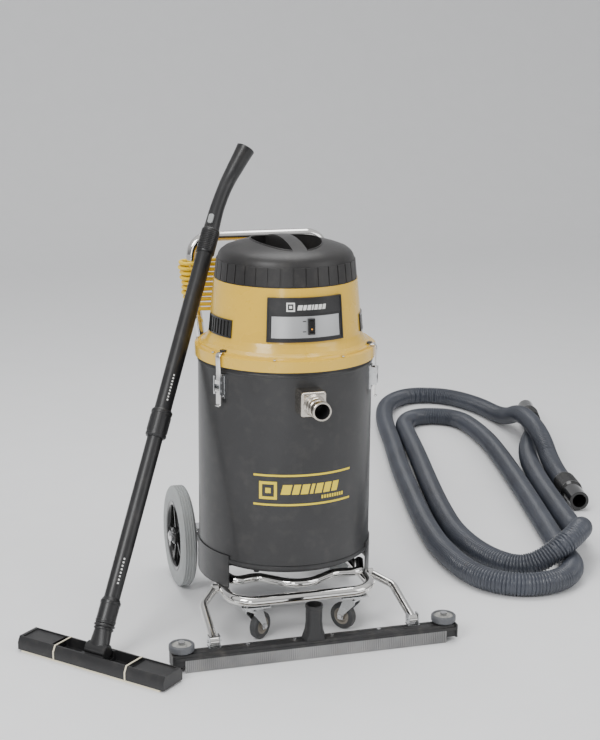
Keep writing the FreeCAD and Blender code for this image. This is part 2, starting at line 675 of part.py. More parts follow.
def build_brackets_and_rollers():
    across = Vector(1, 0, 0)
    brackets = []
    bolts = []
    for side, sign in SIDES:
        x = "%d * arm_end_x" % sign
        base = block("28", "24", "2.5", "%s - 14" % x, "0 - arm_end_y - 14", "channel_high_z")
        ears = [block("2.5", "20", "24", "%s + %s" % (x, gap), "0 - arm_end_y - 10", "channel_high_z + 2.5")
                for gap in ("10.5", "0 - 13")]
        hole = rod("3", "60", "%s - 30" % x, "0 - arm_end_y", "arm_end_z", across)
        brackets.append(cut(fuse(base, *ears), hole))
        brackets.append(rod("3", "32", "%s - 16" % x, "0 - arm_end_y", "arm_end_z", across))
        x = "%d * roller_x" % sign
        bolt = fuse(rod("4", "roller_high_z - channel_high_z + 2", z="channel_high_z"),
                    rod("8", "4", z="roller_high_z + 0.5"), rod("9", "1.7", z="channel_high_z"))
        spot(bolt, x, "0 - roller_y")
        bolts.append(bolt)
        tyre = turned([
            ("20", "roller_low_z"), ("roller_radius - 3", "roller_low_z"),
            ("roller_radius", "roller_low_z + 3"), ("roller_radius", "roller_high_z - 3"),
            ("roller_radius - 3", "roller_high_z"), ("20", "roller_high_z"),
        ])
        hub = ring("20", "4 + running_gap", "roller_low_z + 1", "roller_high_z - 3")
        keep("bumper_wheel_" + side, solids(tyre, hub), x, "0 - roller_y")
    screws = [rod("4.5", "3", x, y, "channel_high_z") for x, y in (
        ("-160", "-272"), ("150", "-272"), ("suction_x - 44", "-272"), ("suction_x + 44", "-272"))]
    keep("squeegee_screws", solids(*screws, *bolts))
    keep("squeegee_brackets", solids(*brackets))


# ---------------------------------------------------------------- wand and floor tool
def wand_direction():
    return (WAND_HEAD - WAND_FOOT).normalize()


def tool_pivot():
    """The floor tool's hinge point, on the wand's own line."""
    return WAND_FOOT - wand_direction() * PIVOT_REACH


def along_wand(node, body):
    foot = WAND_FOOT
    keep(node, body, "%g" % foot.x, "%g" % foot.y, "%g" % foot.z, Rotation(UP, wand_direction()))


def wand_ring(node, outer, inner, low, high):
    along_wand(node, ring(outer, inner, "%d" % low, "%d" % high))


def build_wand():
    cuff = turned([
        ("lower_tube_radius", "%d" % LOWER_TUBE_START), ("22.5", "%d" % LOWER_TUBE_START),
        ("22.5", "%d" % CUFF_END), ("lower_tube_radius", "%d" % (CUFF_END + 8))])
    tube = ring("lower_tube_radius", "lower_tube_radius - tube_wall",
                "%d" % LOWER_TUBE_START, "%d" % LOWER_TUBE_END)
    along_wand("wand_lower_tube", solids(tube, cuff))
    along_wand("wand_coupling", turned([
        ("lower_tube_radius", "%d" % COUPLING_START), ("coupling_radius - 2", "%d" % COUPLING_START),
        ("coupling_radius", "%d" % (COUPLING_START + 6)), ("coupling_radius", "%d" % (COUPLING_END - 4)),
        ("coupling_radius - 2", "%d" % COUPLING_END), ("tube_radius + running_gap", "%d" % COUPLING_END),
        ("tube_radius + running_gap", "%d" % (LOWER_TUBE_END + 1)),
        ("lower_tube_radius", "%d" % (LOWER_TUBE_END + 1))]))
    wand_ring("wand_upper_tube", "tube_radius", "tube_radius - tube_wall", UPPER_TUBE_START, UPPER_TUBE_END)
    direction = wand_direction()
    collar = ring("22.5", "tube_radius", "%d" % COLLAR_START, "%d" % UPPER_TUBE_END)
    collar.Placement = FreeCAD.Placement(WAND_FOOT, Rotation(UP, direction))
    start = WAND_FOOT + direction * UPPER_TUBE_END
    bend = WAND_FOOT + direction * GRIP_BEND
    route = [start, bend, Vector(-72, 266, 1014), Vector(-22, 282, 1092)]
    keep("wand_grip", solids(bar(None, route, [90, 120], 19.5, 15.5), collar))
    slide_foot = "%d" % (UPPER_TUBE_END + 12)
    slide = block("5", "14", "22", "19.8", "-7", slide_foot)
    facing = Vector(-0.55, -0.83, 0)
    facing = (facing - direction * facing.dot(direction)).normalize()
    foot = WAND_FOOT
    keep("air_slide", solids(slide), "%g" % foot.x, "%g" % foot.y, "%g" % foot.z,
         Rotation(facing, direction.cross(facing), direction, "ZXY"))


def build_floor_tool():
    turn = Rotation(Vector(1, 0, 0), TOOL_LINE)
    across = Vector(1, 0, 0)
    shell = cut(block("2 * tool_half", "2 * tool_half_width", "tool_high_z - 4", "0 - tool_half",
                      "0 - tool_half_width", "4"),
                block("2 * tool_half - 2 * tool_wall",
                      "2 * tool_half_width - 2 * tool_wall", "tool_high_z - 10",
                      "tool_wall - tool_half", "tool_wall - tool_half_width", "4"))
    pivot = tool_pivot()
    seat = rod("barrel_radius + 0.5", "60", "-30", "0", "%g" % pivot.z, across)
    place_at = ("%g" % pivot.x, "%g" % pivot.y, "0", turn)
    keep("floor_tool", cut(shell, seat), *place_at)
    strips = [block("2 * tool_half - 20", "4", "4", "10 - tool_half", y, "0")
              for y in ("0 - tool_half_width", "tool_half_width - 4")]
    keep("floor_tool_strips", solids(*strips), *place_at)
    barrel = doc.addObject("Part::Feature", "neck")
    line = Vector(TOOL_LINE).normalize()
    hub = Part.makeCylinder(DIMENSIONS["barrel_radius"], 56, pivot - line * 28, line)
    stem = Part.makeCone(14, 18, 50, pivot, wand_direction())
    lug = Part.makeCylinder(16.4, 30, pivot + wand_direction() * 45, wand_direction())
    barrel.Shape = hub.fuse(stem).fuse(lug)
    keep("tool_neck", barrel)


# ---------------------------------------------------------------- hose and power cord
def hose_points():
    radius = DIMENSIONS["hose_diameter"] / 2
    return [Vector(x, y, HUMP_HEIGHT if index in HOSE_HUMPS else radius)
            for index, (x, y) in enumerate(HOSE_ROUTE)]


def hose_cuff(node, end, before):
    """A stepped cuff that carries on from an end of the hose."""
    direction = (end - before).normalize()
    cuff = turned([("25", "0"), ("33", "0"), ("33", "90"), ("28", "98"), ("28", "180"), ("20", "180"),
                   ("20", "84"), ("25", "82")])
    keep(node, cuff, "%g" % end.x, "%g" % end.y, "33", Rotation(UP, Vector(direction.x, direction.y, 0)))


def build_hose():
    points = hose_points()
    cord("hose_tube", points, DIMENSIONS["hose_diameter"])
    hose_cuff("hose_cuff_machine", points[0], points[1])
    hose_cuff("hose_cuff_wand", points[-1], points[-2])


def build_power_cord():
    cord("power_cord", [Vector(*point) for point in CORD_ROUTE], DIMENSIONS["cord_diameter"])
    spread = 172
    low = 697
    height = 137
    outer = racetrack(spread, 25.5, low, height)
    inner = racetrack(spread, 15, low, height)
    coil = doc.addObject("Part::Feature", "winding")
    coil.Shape = outer.cut(inner)
    keep("power_cord_winding", coil)
    body = fuse(block("46", "38", "26", "40", "225", "834"),
                rod("8", "20", "20", "244", "847", Vector(1, 0, 0)))
    pins = [block("18", "6.3", "1.6", "86", y, z) for y, z in (("232", "850"), ("249.5", "850"))]
    pins.append(rod("2.4", "20", "86", "244", "842", Vector(1, 0, 0)))
    keep("power_plug", solids(body, *pins))
    keep("cord_gland", solids(gland_form()))


def gland_form():
    """The tapered strain relief, which passes through the head's shell at the back."""
    way = (Vector(*CORD_ROUTE[1]) - Vector(*CORD_ROUTE[0])).normalize()
    start = Vector(*CORD_ROUTE[0]) - way * GLAND_LENGTH
    return taper("11", "6.5", "%d" % GLAND_LENGTH, "%g" % start.x, "%g" % start.y, "%g" % start.z, way)


def racetrack(spread, radius, low, height):
    """An upright prism with round ends, about the push handle's two uprights."""
    ends = [Part.makeCylinder(radius, height, Vector(side * spread, 244, low)) for side in (-1, 1)]
    middle = Part.makeBox(2 * spread, 2 * radius, height, Vector(-spread, 244 - radius, low))
    return middle.fuse(ends).removeSplitter()


def check_and_export():
    doc.recompute()
    for obj in doc.Objects:
        bad = [word for word in obj.State if word in ("Invalid", "Error")]
        if bad:
            raise RuntimeError("%s (%s) is %s" % (obj.Name, obj.Label, bad))
    os.makedirs("parts", exist_ok=True)
    for node, obj in nodes.items():
        shape = obj.Shape
        if shape.isNull() or not shape.isValid() or not shape.Solids:
            raise RuntimeError("%s has no good shape" % node)
        shape.exportStep("parts/%s.step" % node)
    print(len(nodes), "sub-parts")


fill_sheet()
build_drum()
build_cradle()
build_inlet()
build_head()
build_panel()
build_lid()
build_head_screws()
build_inside()
build_latches()
build_frame()
build_handle()
build_rear_wheels()
build_casters()
build_squeegee_arms()
build_squeegee_head()
build_wand()
build_floor_tool()
build_hose()
build_power_cord()
check_and_export()
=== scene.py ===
"""The looks of a wet and dry shop vacuum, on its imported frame.

Sizes are millimetres in the machine's own frame: x and y from the drum's axis, the front
towards -Y, z from the floor. at() turns a place into the row frame, in metres.
"""
import bmesh
import bpy
import math
from mathutils import Matrix, Vector


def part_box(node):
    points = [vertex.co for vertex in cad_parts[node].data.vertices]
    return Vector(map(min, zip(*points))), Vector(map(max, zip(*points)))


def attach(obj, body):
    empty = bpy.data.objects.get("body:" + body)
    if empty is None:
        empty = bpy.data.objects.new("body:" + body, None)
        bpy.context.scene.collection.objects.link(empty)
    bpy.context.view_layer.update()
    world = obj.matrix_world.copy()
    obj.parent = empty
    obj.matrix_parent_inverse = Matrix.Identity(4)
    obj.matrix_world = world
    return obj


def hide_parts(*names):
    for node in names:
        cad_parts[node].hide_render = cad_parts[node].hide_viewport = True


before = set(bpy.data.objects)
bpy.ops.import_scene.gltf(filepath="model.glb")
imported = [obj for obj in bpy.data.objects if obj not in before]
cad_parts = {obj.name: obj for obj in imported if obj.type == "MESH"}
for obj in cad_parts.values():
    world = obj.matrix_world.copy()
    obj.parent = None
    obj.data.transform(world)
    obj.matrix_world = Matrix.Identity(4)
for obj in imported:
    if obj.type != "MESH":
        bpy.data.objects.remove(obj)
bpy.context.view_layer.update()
MM = 0.001
UP = Vector((0, 0, 1))
SIDES = (("left", -1), ("right", 1))
drum_low, drum_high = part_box("drum")
AXIS = Vector(((drum_low.x + drum_high.x) / 2, (drum_low.y + drum_high.y) / 2, 0))
DRUM_RADIUS = (drum_high.x - drum_low.x) / 2 / MM


def at(x, y, z):
    """A place in the machine's frame, in millimetres, as a point of the row frame in metres."""
    return AXIS + Vector((x, y, z)) * MM


def local(point):
    """A point of the row frame in metres, as a place in the machine's frame in millimetres."""
    return (Vector(point) - AXIS) / MM


# ---------------------------------------------------------------- camera
def build_camera():
    azimuth, pitch, roll = math.radians(-16.8), math.radians(13.62), math.radians(0.56)
    level_back = Vector((math.sin(azimuth), -math.cos(azimuth), 0))
    back = level_back * math.cos(pitch) + UP * math.sin(pitch)
    right = Vector((math.cos(azimuth), math.sin(azimuth), 0))
    up = back.cross(right)
    right = right * math.cos(roll) + up * math.sin(roll)
    up = back.cross(right)
    data = bpy.data.cameras.new("camera")
    data.lens, data.sensor_width = 72, 36
    data.clip_start, data.clip_end = 0.05, 100
    camera = bpy.data.objects.new("camera", data)
    bpy.context.scene.collection.objects.link(camera)
    turn = Matrix((right, up, back)).transposed()
    camera.matrix_world = Matrix.Translation(at(-943.8, -3248.9, 1419.3)) @ turn.to_4x4()
    bpy.context.scene.camera = camera


# ---------------------------------------------------------------- materials
def blend_colour(colour, factor):
    return tuple(min(1.0, part * factor) for part in colour) + (1.0,)


def node_maker(material):
    tree = material.node_tree
    return (lambda kind: tree.nodes.new(kind)), tree.links.new, tree.nodes["Principled BSDF"]


def surface(name, colour, rough, metal=0.0, grain=900, depth=0.0001, mottle=0.12, speck=None,
            coat=0.0, sheen=0.0, stretch=(1, 1, 1), scratch=0.0, dirt=0.0):
    """A material with uneven colour, uneven gloss and a fine relief, all from noise."""
    material = bpy.data.materials.new(name)
    material.use_nodes = True
    new, link, shader = node_maker(material)
    place = new("ShaderNodeTexCoord")
    scaled = new("ShaderNodeMapping")
    scaled.inputs["Scale"].default_value = stretch
    link(place.outputs["Object"], scaled.inputs["Vector"])

    broad = new("ShaderNodeTexNoise")
    broad.inputs["Scale"].default_value = 9
    broad.inputs["Detail"].default_value = 6
    link(scaled.outputs["Vector"], broad.inputs["Vector"])
    fine = new("ShaderNodeTexNoise")
    fine.inputs["Scale"].default_value = grain
    fine.inputs["Detail"].default_value = 3
    link(scaled.outputs["Vector"], fine.inputs["Vector"])

    tint = new("ShaderNodeValToRGB")
    tint.color_ramp.elements[0].position = 0.3
    tint.color_ramp.elements[0].color = blend_colour(colour, 1 - mottle)
    tint.color_ramp.elements[1].position = 0.7
    tint.color_ramp.elements[1].color = blend_colour(colour, 1 + mottle)
    link(broad.outputs["Fac"], tint.inputs["Fac"])
    paint = tint.outputs["Color"]
    if speck:
        dots = new("ShaderNodeTexVoronoi")
        dots.inputs["Scale"].default_value = grain * 0.45
        link(scaled.outputs["Vector"], dots.inputs["Vector"])
        mask = new("ShaderNodeValToRGB")
        mask.color_ramp.elements[0].color = (1, 1, 1, 1)
        mask.color_ramp.elements[0].position = 0.08
        mask.color_ramp.elements[1].color = (0, 0, 0, 1)
        mask.color_ramp.elements[1].position = 0.26
        link(dots.outputs["Distance"], mask.inputs["Fac"])
        mixer = new("ShaderNodeMixRGB")
        mixer.inputs["Color2"].default_value = speck + (1.0,)
        link(mask.outputs["Color"], mixer.inputs["Fac"])
        link(paint, mixer.inputs["Color1"])
        paint = mixer.outputs["Color"]
    if dirt:
        dust = new("ShaderNodeTexNoise")
        dust.inputs["Scale"].default_value = 38
        dust.inputs["Detail"].default_value = 9
        link(place.outputs["Object"], dust.inputs["Vector"])
        mask = new("ShaderNodeValToRGB")
        mask.color_ramp.elements[0].position = 0.52
        mask.color_ramp.elements[0].color = (0, 0, 0, 1)
        mask.color_ramp.elements[1].position = 0.78
        mask.color_ramp.elements[1].color = (dirt, dirt, dirt, 1)
        link(dust.outputs["Fac"], mask.inputs["Fac"])
        mixer = new("ShaderNodeMixRGB")
        mixer.inputs["Color2"].default_value = (0.30, 0.27, 0.23, 1.0)
        link(mask.outputs["Color"], mixer.inputs["Fac"])
        link(paint, mixer.inputs["Color1"])
        paint = mixer.outputs["Color"]
    link(paint, shader.inputs["Base Color"])

    gloss = new("ShaderNodeMapRange")
    gloss.inputs["To Min"].default_value = max(0.03, rough - 0.06)
    gloss.inputs["To Max"].default_value = rough + 0.08
    link(broad.outputs["Fac"], gloss.inputs["Value"])
    link(gloss.outputs["Result"], shader.inputs["Roughness"])

    relief = new("ShaderNodeBump")
    relief.inputs["Distance"].default_value = depth
    relief.inputs["Strength"].default_value = 0.7
    link(fine.outputs["Fac"], relief.inputs["Height"])
    normal = relief.outputs["Normal"]
    if scratch:
        lines = new("ShaderNodeTexWave")
        lines.inputs["Scale"].default_value = 120
        lines.inputs["Distortion"].default_value = 14
        lines.inputs["Detail"].default_value = 5
        link(scaled.outputs["Vector"], lines.inputs["Vector"])
        worn = new("ShaderNodeBump")
        worn.inputs["Distance"].default_value = depth
        worn.inputs["Strength"].default_value = scratch
        link(lines.outputs["Fac"], worn.inputs["Height"])
        link(normal, worn.inputs["Normal"])
        normal = worn.outputs["Normal"]
    link(normal, shader.inputs["Normal"])
    shader.inputs["Metallic"].default_value = metal
    shader.inputs["Coat Weight"].default_value = coat
    shader.inputs["Coat Roughness"].default_value = 0.08
    shader.inputs["Sheen Weight"].default_value = sheen
    return material


DRUM_PAINT = surface("drum_paint", (0.022, 0.022, 0.023), 0.36, grain=1500, depth=0.00022, mottle=0.25,
                     speck=(0.05, 0.052, 0.056), coat=0.12, dirt=0.05)
YELLOW = surface("yellow_shell", (0.80, 0.50, 0.045), 0.26, grain=420, depth=0.00005, mottle=0.04,
                 coat=0.45)
LID_BLACK = surface("lid_moulding", (0.020, 0.019, 0.019), 0.40, grain=1400, depth=0.00018, mottle=0.2,
                    dirt=0.06)
BLACK = surface("black_moulding", (0.017, 0.017, 0.018), 0.38, grain=1100, depth=0.00012, mottle=0.2,
                dirt=0.05)
BLACK_GLOSS = surface("black_gloss", (0.012, 0.012, 0.012), 0.14, grain=600, depth=0.00003, mottle=0.2,
                      coat=0.3)
WAND_BLACK = surface("wand_moulding", (0.014, 0.014, 0.015), 0.34, grain=1300, depth=0.0001, mottle=0.25,
                     dirt=0.05)
CHANNEL_BLACK = surface("channel_paint", (0.016, 0.016, 0.017), 0.45, grain=800, depth=0.0002, mottle=0.25,
                        dirt=0.12)
CHROME = surface("chrome", (0.80, 0.79, 0.77), 0.07, metal=1.0, grain=260, depth=0.00002, mottle=0.05,
                 scratch=0.05)
ZINC = surface("zinc_plate", (0.60, 0.61, 0.62), 0.25, metal=1.0, grain=700, depth=0.00008, mottle=0.16,
               scratch=0.15)
NICKEL = surface("inlet_metal", (0.60, 0.56, 0.50), 0.22, metal=1.0, grain=500, depth=0.00006, mottle=0.12,
                 stretch=(1, 1, 14), scratch=0.1)
STEEL = surface("screw_steel", (0.66, 0.66, 0.67), 0.24, metal=1.0, grain=900, depth=0.00006, mottle=0.15)
DARK_STEEL = surface("support_paint", (0.03, 0.03, 0.032), 0.5, grain=900, depth=0.0002, mottle=0.3,
                     dirt=0.15)
GREY_TYRE = surface("grey_tyre", (0.37, 0.385, 0.385), 0.62, grain=700, depth=0.0003, mottle=0.08,
                    dirt=0.25)
DARK_TYRE = surface("caster_tyre", (0.045, 0.047, 0.05), 0.55, grain=800, depth=0.0002, mottle=0.25,
                    dirt=0.2)
CASTER_HUB = surface("caster_hub", (0.23, 0.21, 0.18), 0.5, grain=900, depth=0.0002, mottle=0.2, dirt=0.2)
ROLLER_GREY = surface("roller_rubber", (0.11, 0.115, 0.125), 0.45, grain=900, depth=0.0002, mottle=0.15,
                      dirt=0.1)
ROLLER_HUB = surface("roller_hub", (0.40, 0.40, 0.38), 0.4, grain=900, depth=0.0001, mottle=0.12, dirt=0.1)
BLADE_GREY = surface("ribbed_blade", (0.26, 0.26, 0.26), 0.42, grain=900, depth=0.0002, mottle=0.3,
                     dirt=0.3)
BLADE_TAN = surface("rear_blade", (0.46, 0.33, 0.17), 0.6, grain=900, depth=0.0002, mottle=0.15, dirt=0.2)
CREAM = surface("cream_rubber", (0.78, 0.72, 0.55), 0.55, grain=900, depth=0.0002, mottle=0.08, dirt=0.1)
HOSE = surface("hose_rubber", (0.050, 0.056, 0.072), 0.33, grain=700, depth=0.0001, mottle=0.18, coat=0.1,
               dirt=0.05)
CORD_YELLOW = surface("cord_jacket", (0.86, 0.58, 0.02), 0.42, grain=900, depth=0.0001, mottle=0.08)
SILVER = surface("brushed_plate", (0.52, 0.53, 0.54), 0.36, metal=0.6, grain=500, depth=0.00004,
                 mottle=0.05,
                 stretch=(0.05, 0.05, 1))
GREY_PLASTIC = surface("grey_plastic", (0.30, 0.31, 0.31), 0.45, grain=900, depth=0.0001, mottle=0.1)
MARK_WHITE = surface("white_print", (0.78, 0.78, 0.76), 0.5, grain=900, depth=0.00004, mottle=0.06)
MARK_YELLOW = surface("yellow_print", (0.86, 0.66, 0.03), 0.42, grain=900, depth=0.00004, mottle=0.06)
MARK_AMBER = surface("amber_print", (0.85, 0.35, 0.04), 0.4, grain=900, depth=0.00004, mottle=0.1)
CLOTH = surface("filter_cloth", (0.72, 0.69, 0.62), 0.9, grain=1200, depth=0.0005, mottle=0.1, sheen=0.3)


# ---------------------------------------------------------------- shapes
class Shape:
    """Points in the machine's millimetres, with the faces between them."""

    def __init__(self, matrix=None):
        self.points = []
        self.faces = []
        self.matrix = matrix or Matrix.Identity(4)

    def add(self, points, faces):
        start = len(self.points)
        self.points += [self.matrix @ Vector(point) for point in points]
        self.faces += [[start + index for index in face] for face in faces]
        return self

    def box(self, x0, x1, y0, y1, z0, z1):
        points = [(x, y, z) for x in (x0, x1) for y in (y0, y1) for z in (z0, z1)]
        return self.add(points, [(0, 1, 3, 2), (4, 6, 7, 5), (0, 4, 5, 1), (2, 3, 7, 6), (0, 2, 6, 4), (1,
                5, 7, 3)])

    def prism(self, outline, z0, z1):
        count = len(outline)
        points = [(x, y, z) for z in (z0, z1) for x, y in outline]
        sides = [(i, (i + 1) % count, count + (i + 1) % count, count + i) for i in range(count)]
        return self.add(points, sides + [tuple(range(count))[::-1], tuple(range(count, 2 * count))])

    def lathe(self, profile, segments=96):
        """A closed profile of (radius, height) turned once round the z axis."""
        count = len(profile)
        points = []
        for step in range(segments):
            angle = 2 * math.pi * step / segments
            points += [(r * math.cos(angle), r * math.sin(angle), z) for r, z in profile]
        faces = []
        for step in range(segments):
            here, there = step * count, (step + 1) % segments * count
            for i in range(count):
                j = (i + 1) % count
                faces.append((here + i, here + j, there + j, there + i))
        return self.add(points, faces)

    def curved(self, reach, z0, z1, first, last, low, high, step=2.5, lean=0.0):
        """A slab on a turned surface. Angles are degrees from the front, towards +X; lean shifts the top."""
        pieces = max(1, int(math.ceil((last - first) / step)))
        points = []
        for index in range(pieces + 1):
            angle = first + (last - first) * index / pieces
            for z, shift in ((z0, 0), (z1, lean)):
                turn = math.radians(angle + shift)
                for off in (low, high):
                    r = reach(z) + off
                    points.append((r * math.sin(turn), -r * math.cos(turn), z))
        faces = []
        for index in range(pieces):
            a, b = index * 4, index * 4 + 4
            faces += [(a, b, b + 1, a + 1), (a + 2, a + 3, b + 3, b + 2),
                      (a, a + 2, b + 2, b), (a + 1, b + 1, b + 3, a + 3)]
        end = pieces * 4
        return self.add(points, faces + [(0, 1, 3, 2), (end, end + 2, end + 3, end + 1)])

    def tube(self, path, radii, sides=24, caps=True, flat=1.0, start=None):
        """Rings round a path of points; flat is the second half-width as a share of the first."""
        path = [Vector(point) for point in path]
        ways = [(b - a).normalized() for a, b in zip(path, path[1:])]
        ways = [ways[0]] + [(a + b).normalized() for a, b in zip(ways, ways[1:])] + [ways[-1]]
        side = Vector(start) if start else ways[0].orthogonal()
        points = []
        for point, way, radius in zip(path, ways, radii):
            side = (side - way * side.dot(way)).normalized()
            other = way.cross(side)
            for k in range(sides):
                angle = 2 * math.pi * k / sides
                points.append(point + side * (radius * math.cos(angle)) + other * (radius * flat * math.sin(angle)))
        faces = []
        for ring in range(len(path) - 1):
            a, b = ring * sides, (ring + 1) * sides
            faces += [(a + k, a + (k + 1) % sides, b + (k + 1) % sides, b + k) for k in range(sides)]
        if caps:
            last = (len(path) - 1) * sides
            faces += [tuple(range(sides))[::-1], tuple(range(last, last + sides))]
        return self.add(points, faces)

    def make(self, name, body, material, slot, replaces=(), bevel=0.0, sharp=32, segments=3):
        mesh = bpy.data.meshes.new(name)
        mesh.from_pydata([at(*point) for point in self.points], [], self.faces)
        work = bmesh.new()
        work.from_mesh(mesh)
        bmesh.ops.remove_doubles(work, verts=work.verts, dist=1e-6)
        bmesh.ops.recalc_face_normals(work, faces=work.faces)
        work.to_mesh(mesh)
        work.free()
        mesh.shade_smooth()
        mesh.set_sharp_from_angle(angle=math.radians(sharp))
        mesh.materials.append(material)
        obj = bpy.data.objects.new(name, mesh)
        bpy.context.scene.collection.objects.link(obj)
        if bevel:
            rounding = obj.modifiers.new("rounding", "BEVEL")
            rounding.width = bevel * MM
            rounding.segments = segments
            rounding.limit_method = "ANGLE"
            rounding.angle_limit = math.radians(40)
            rounding.harden_normals = True
        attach(obj, body)
        if replaces:
            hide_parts(*replaces)
        return obj


def standing(x, y, z, axis):
    """A frame whose z axis points along axis, at a place of the machine."""
    turn = UP.rotation_difference(Vector(axis)).to_matrix().to_4x4()
    return Matrix.Translation((x, y, z)) @ turn


def carve(obj, cutter_shape):
    """Cuts a closed shape out of a piece and keeps the result."""
    cutter = cutter_shape.make(obj.name + "_cutter", "machine", BLACK, "black_plastic")
    tool = obj.modifiers.new("carve", "BOOLEAN")
    tool.operation = "DIFFERENCE"
    tool.solver = "EXACT"
    tool.use_self = True
    tool.object = cutter
    graph = bpy.context.evaluated_depsgraph_get()
    result = bpy.data.meshes.new_from_object(obj.evaluated_get(graph))
    obj.modifiers.remove(tool)
    obj.data = result
    result.shade_smooth()
    result.set_sharp_from_angle(angle=math.radians(32))
    bpy.data.objects.remove(cutter)


def paint(material, *nodes):
    for node in nodes:
        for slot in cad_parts[node].material_slots:
            slot.material = material


def cone_radius(z):
    """The head's outer radius at a height, in millimetres."""
    return 178.5 - 11.5 * (z - 700) / 124


def drum_radius(z):
    return DRUM_RADIUS


# ---------------------------------------------------------------- cords
HOSE_RADIUS = 30
HUMP_HEIGHT = 104
HOSE_HUMPS = (2, 3, 37, 38)
HOSE_ROUTE = [
    (1075, 640), (1108, 790), (1132, 930), (1183, 1190), (1205, 1370), (1190, 1570), (1115, 1725),
    (985, 1760), (865, 1660), (785, 1460), (722, 1200), (648, 930), (585, 660), (527, 400),
    (495, 190), (505, -8), (587, -90), (703, -90), (785, -8), (797, 90), (843, 280), (898, 500),
    (951, 720), (999, 930), (1038, 1130), (1052, 1290), (1048, 1400), (985, 1466), (892, 1462),
    (832, 1391), (802, 1267), (744, 1018), (675, 749), (614, 489), (578, 285), (592, 90),
    (664, 8), (780, 8), (852, 90), (902, 215), (944, 400), (1002, 650), (1058, 845), (1110, 978),
    (1170, 1090), (1238, 1190), (1278, 1305),
]
CORD_RADIUS = 4.6
CORD_ROUTE = [
    (-98, 190, 684), (-110, 214, 684), (-117, 246, 674), (-108, 280, 668), (-78, 303, 670),
    (-40, 306, 678), (-6, 290, 688), (26, 268, 702),
]
TURNS = 10
WINDING_LOW = 702
WINDING_HIGH = 829
WINDING_Y = 244


def nurbs(name, points, bevel=0.0):
    """One open NURBS spline of order 3 through the machine's millimetres."""
    curve = bpy.data.curves.new(name, "CURVE")
    curve.dimensions = "3D"
    curve.resolution_u = 10
    curve.bevel_depth = bevel * MM
    curve.bevel_resolution = 4
    curve.use_fill_caps = True
    spline = curve.splines.new("NURBS")
    spline.points.add(len(points) - 1)
    for control, point in zip(spline.points, points):
        control.co = at(*point).to_4d()
    spline.order_u = 3
    spline.use_endpoint_u = True
    obj = bpy.data.objects.new(name, curve)
    bpy.context.scene.collection.objects.link(obj)
    return obj


def evenly(obj, step):
    """Points read from a curve with no bevel, a step apart, in the machine's millimetres."""
    graph = bpy.context.evaluated_depsgraph_get()
    mesh = bpy.data.meshes.new_from_object(obj.evaluated_get(graph))
    line = [local(vertex.co) for vertex in mesh.vertices]
    points, left = [line[0]], step
    for a, b in zip(line, line[1:]):
        run = (b - a).length
        while run >= left:
            a = a.lerp(b, left / run)
            points.append(a)
            run = (b - a).length
            left = step
        left -= run
    return points


def build_hose():
    """A ribbed tube: each rib is a valley ring and two crest rings."""
    route = [(x, y, HUMP_HEIGHT if index in HOSE_HUMPS else HOSE_RADIUS)
             for index, (x, y) in enumerate(HOSE_ROUTE)]
    guide = nurbs("hose_line", route)
    rib_pitch = 8
    path = evenly(guide, rib_pitch / 4)
    bpy.data.objects.remove(guide)
    crest, shoulder, valley = HOSE_RADIUS, HOSE_RADIUS - 1.0, HOSE_RADIUS - 3.3
    wave = (valley, shoulder, crest, shoulder)
    radii = [wave[index % 4] for index in range(len(path))]
    tube = Shape().tube(path, radii, sides=24)
    hose = tube.make("hose_ribbed", "machine", HOSE, "hose_black", ["hose_tube"], sharp=80)
    ends = {"machine": (path[0], path[0] - path[8]), "wand": (path[-1], path[-1] - path[-9])}
    for name, (point, way) in ends.items():
        way.z = 0
        rings = Shape(standing(point.x, point.y, 33, way))
        for low in [6 + 8 * k for k in range(10)]:
            rings.lathe([(32.5, low), (33.9, low + 1.2), (33.9, low + 3.2), (32.5, low + 4.4)], 64)
        rings.make("hose_cuff_rings_" + name, "machine", BLACK, "black_plastic")
    paint(BLACK_GLOSS, "hose_cuff_machine", "hose_cuff_wand")


def upright_x(z):
    """Where the push handle's uprights stand at a height."""
    return 157 + 13 * min(1, max(0, (z - 700) / 100))


def winding_points():
    """The cord's turns round both uprights, then its rise to the plug."""
    points = []
    rise = (WINDING_HIGH - WINDING_LOW) / (TURNS + 0.25)
    for turn in range(TURNS + 1):
        sag = (3, 9, 5, 11, 4, 8, 6)[turn % 7]
        slack = (0, 2.5, 1, 3.5, 1.5)[turn % 5]
        base = WINDING_LOW + rise * turn
        spread = upright_x(base) + 4
        if turn:
            points += [(-60, WINDING_Y + 19 + slack, base - sag * 0.3), (60, WINDING_Y + 19, base)]
        if turn == TURNS:
            break
        points += [
            (spread - 14, WINDING_Y + 20, base + rise * 0.12), (spread + 14 + slack, WINDING_Y + 18,
                                                                base + rise * 0.2),
            (spread + 22 + slack, WINDING_Y, base + rise * 0.26), (spread + 14 + slack, WINDING_Y - 18,
                    base + rise * 0.33),
            (spread - 14, WINDING_Y - 20, base + rise * 0.4), (60, WINDING_Y - 19 - slack,
                                                               base + rise * 0.46 - sag * 0.3),
            (-60, WINDING_Y - 19 - slack, base + rise * 0.54 - sag * 0.3), (14 - spread, WINDING_Y - 20,
                    base + rise * 0.62),
            (-spread - 14 - slack, WINDING_Y - 18, base + rise * 0.7), (-spread - 22 - slack, WINDING_Y,
                    base + rise * 0.76),
            (-spread - 14 - slack, WINDING_Y + 18, base + rise * 0.84), (14 - spread, WINDING_Y + 20,
                    base + rise * 0.92),
        ]
    return points[:-1] + [(-22, 262, 836), (-2, 247, 846), (20, 244, 847)]


def build_power_cord():
    cord = nurbs("power_cord_wound", CORD_ROUTE[:-1] + [(30, 264, 702), (90, 264, 702)] + winding_points(),
                 CORD_RADIUS)
    cord.data.materials.append(CORD_YELLOW)
    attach(cord, "machine")
    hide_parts("power_cord", "power_cord_winding")
    paint(BLACK, "power_plug", "cord_gland")


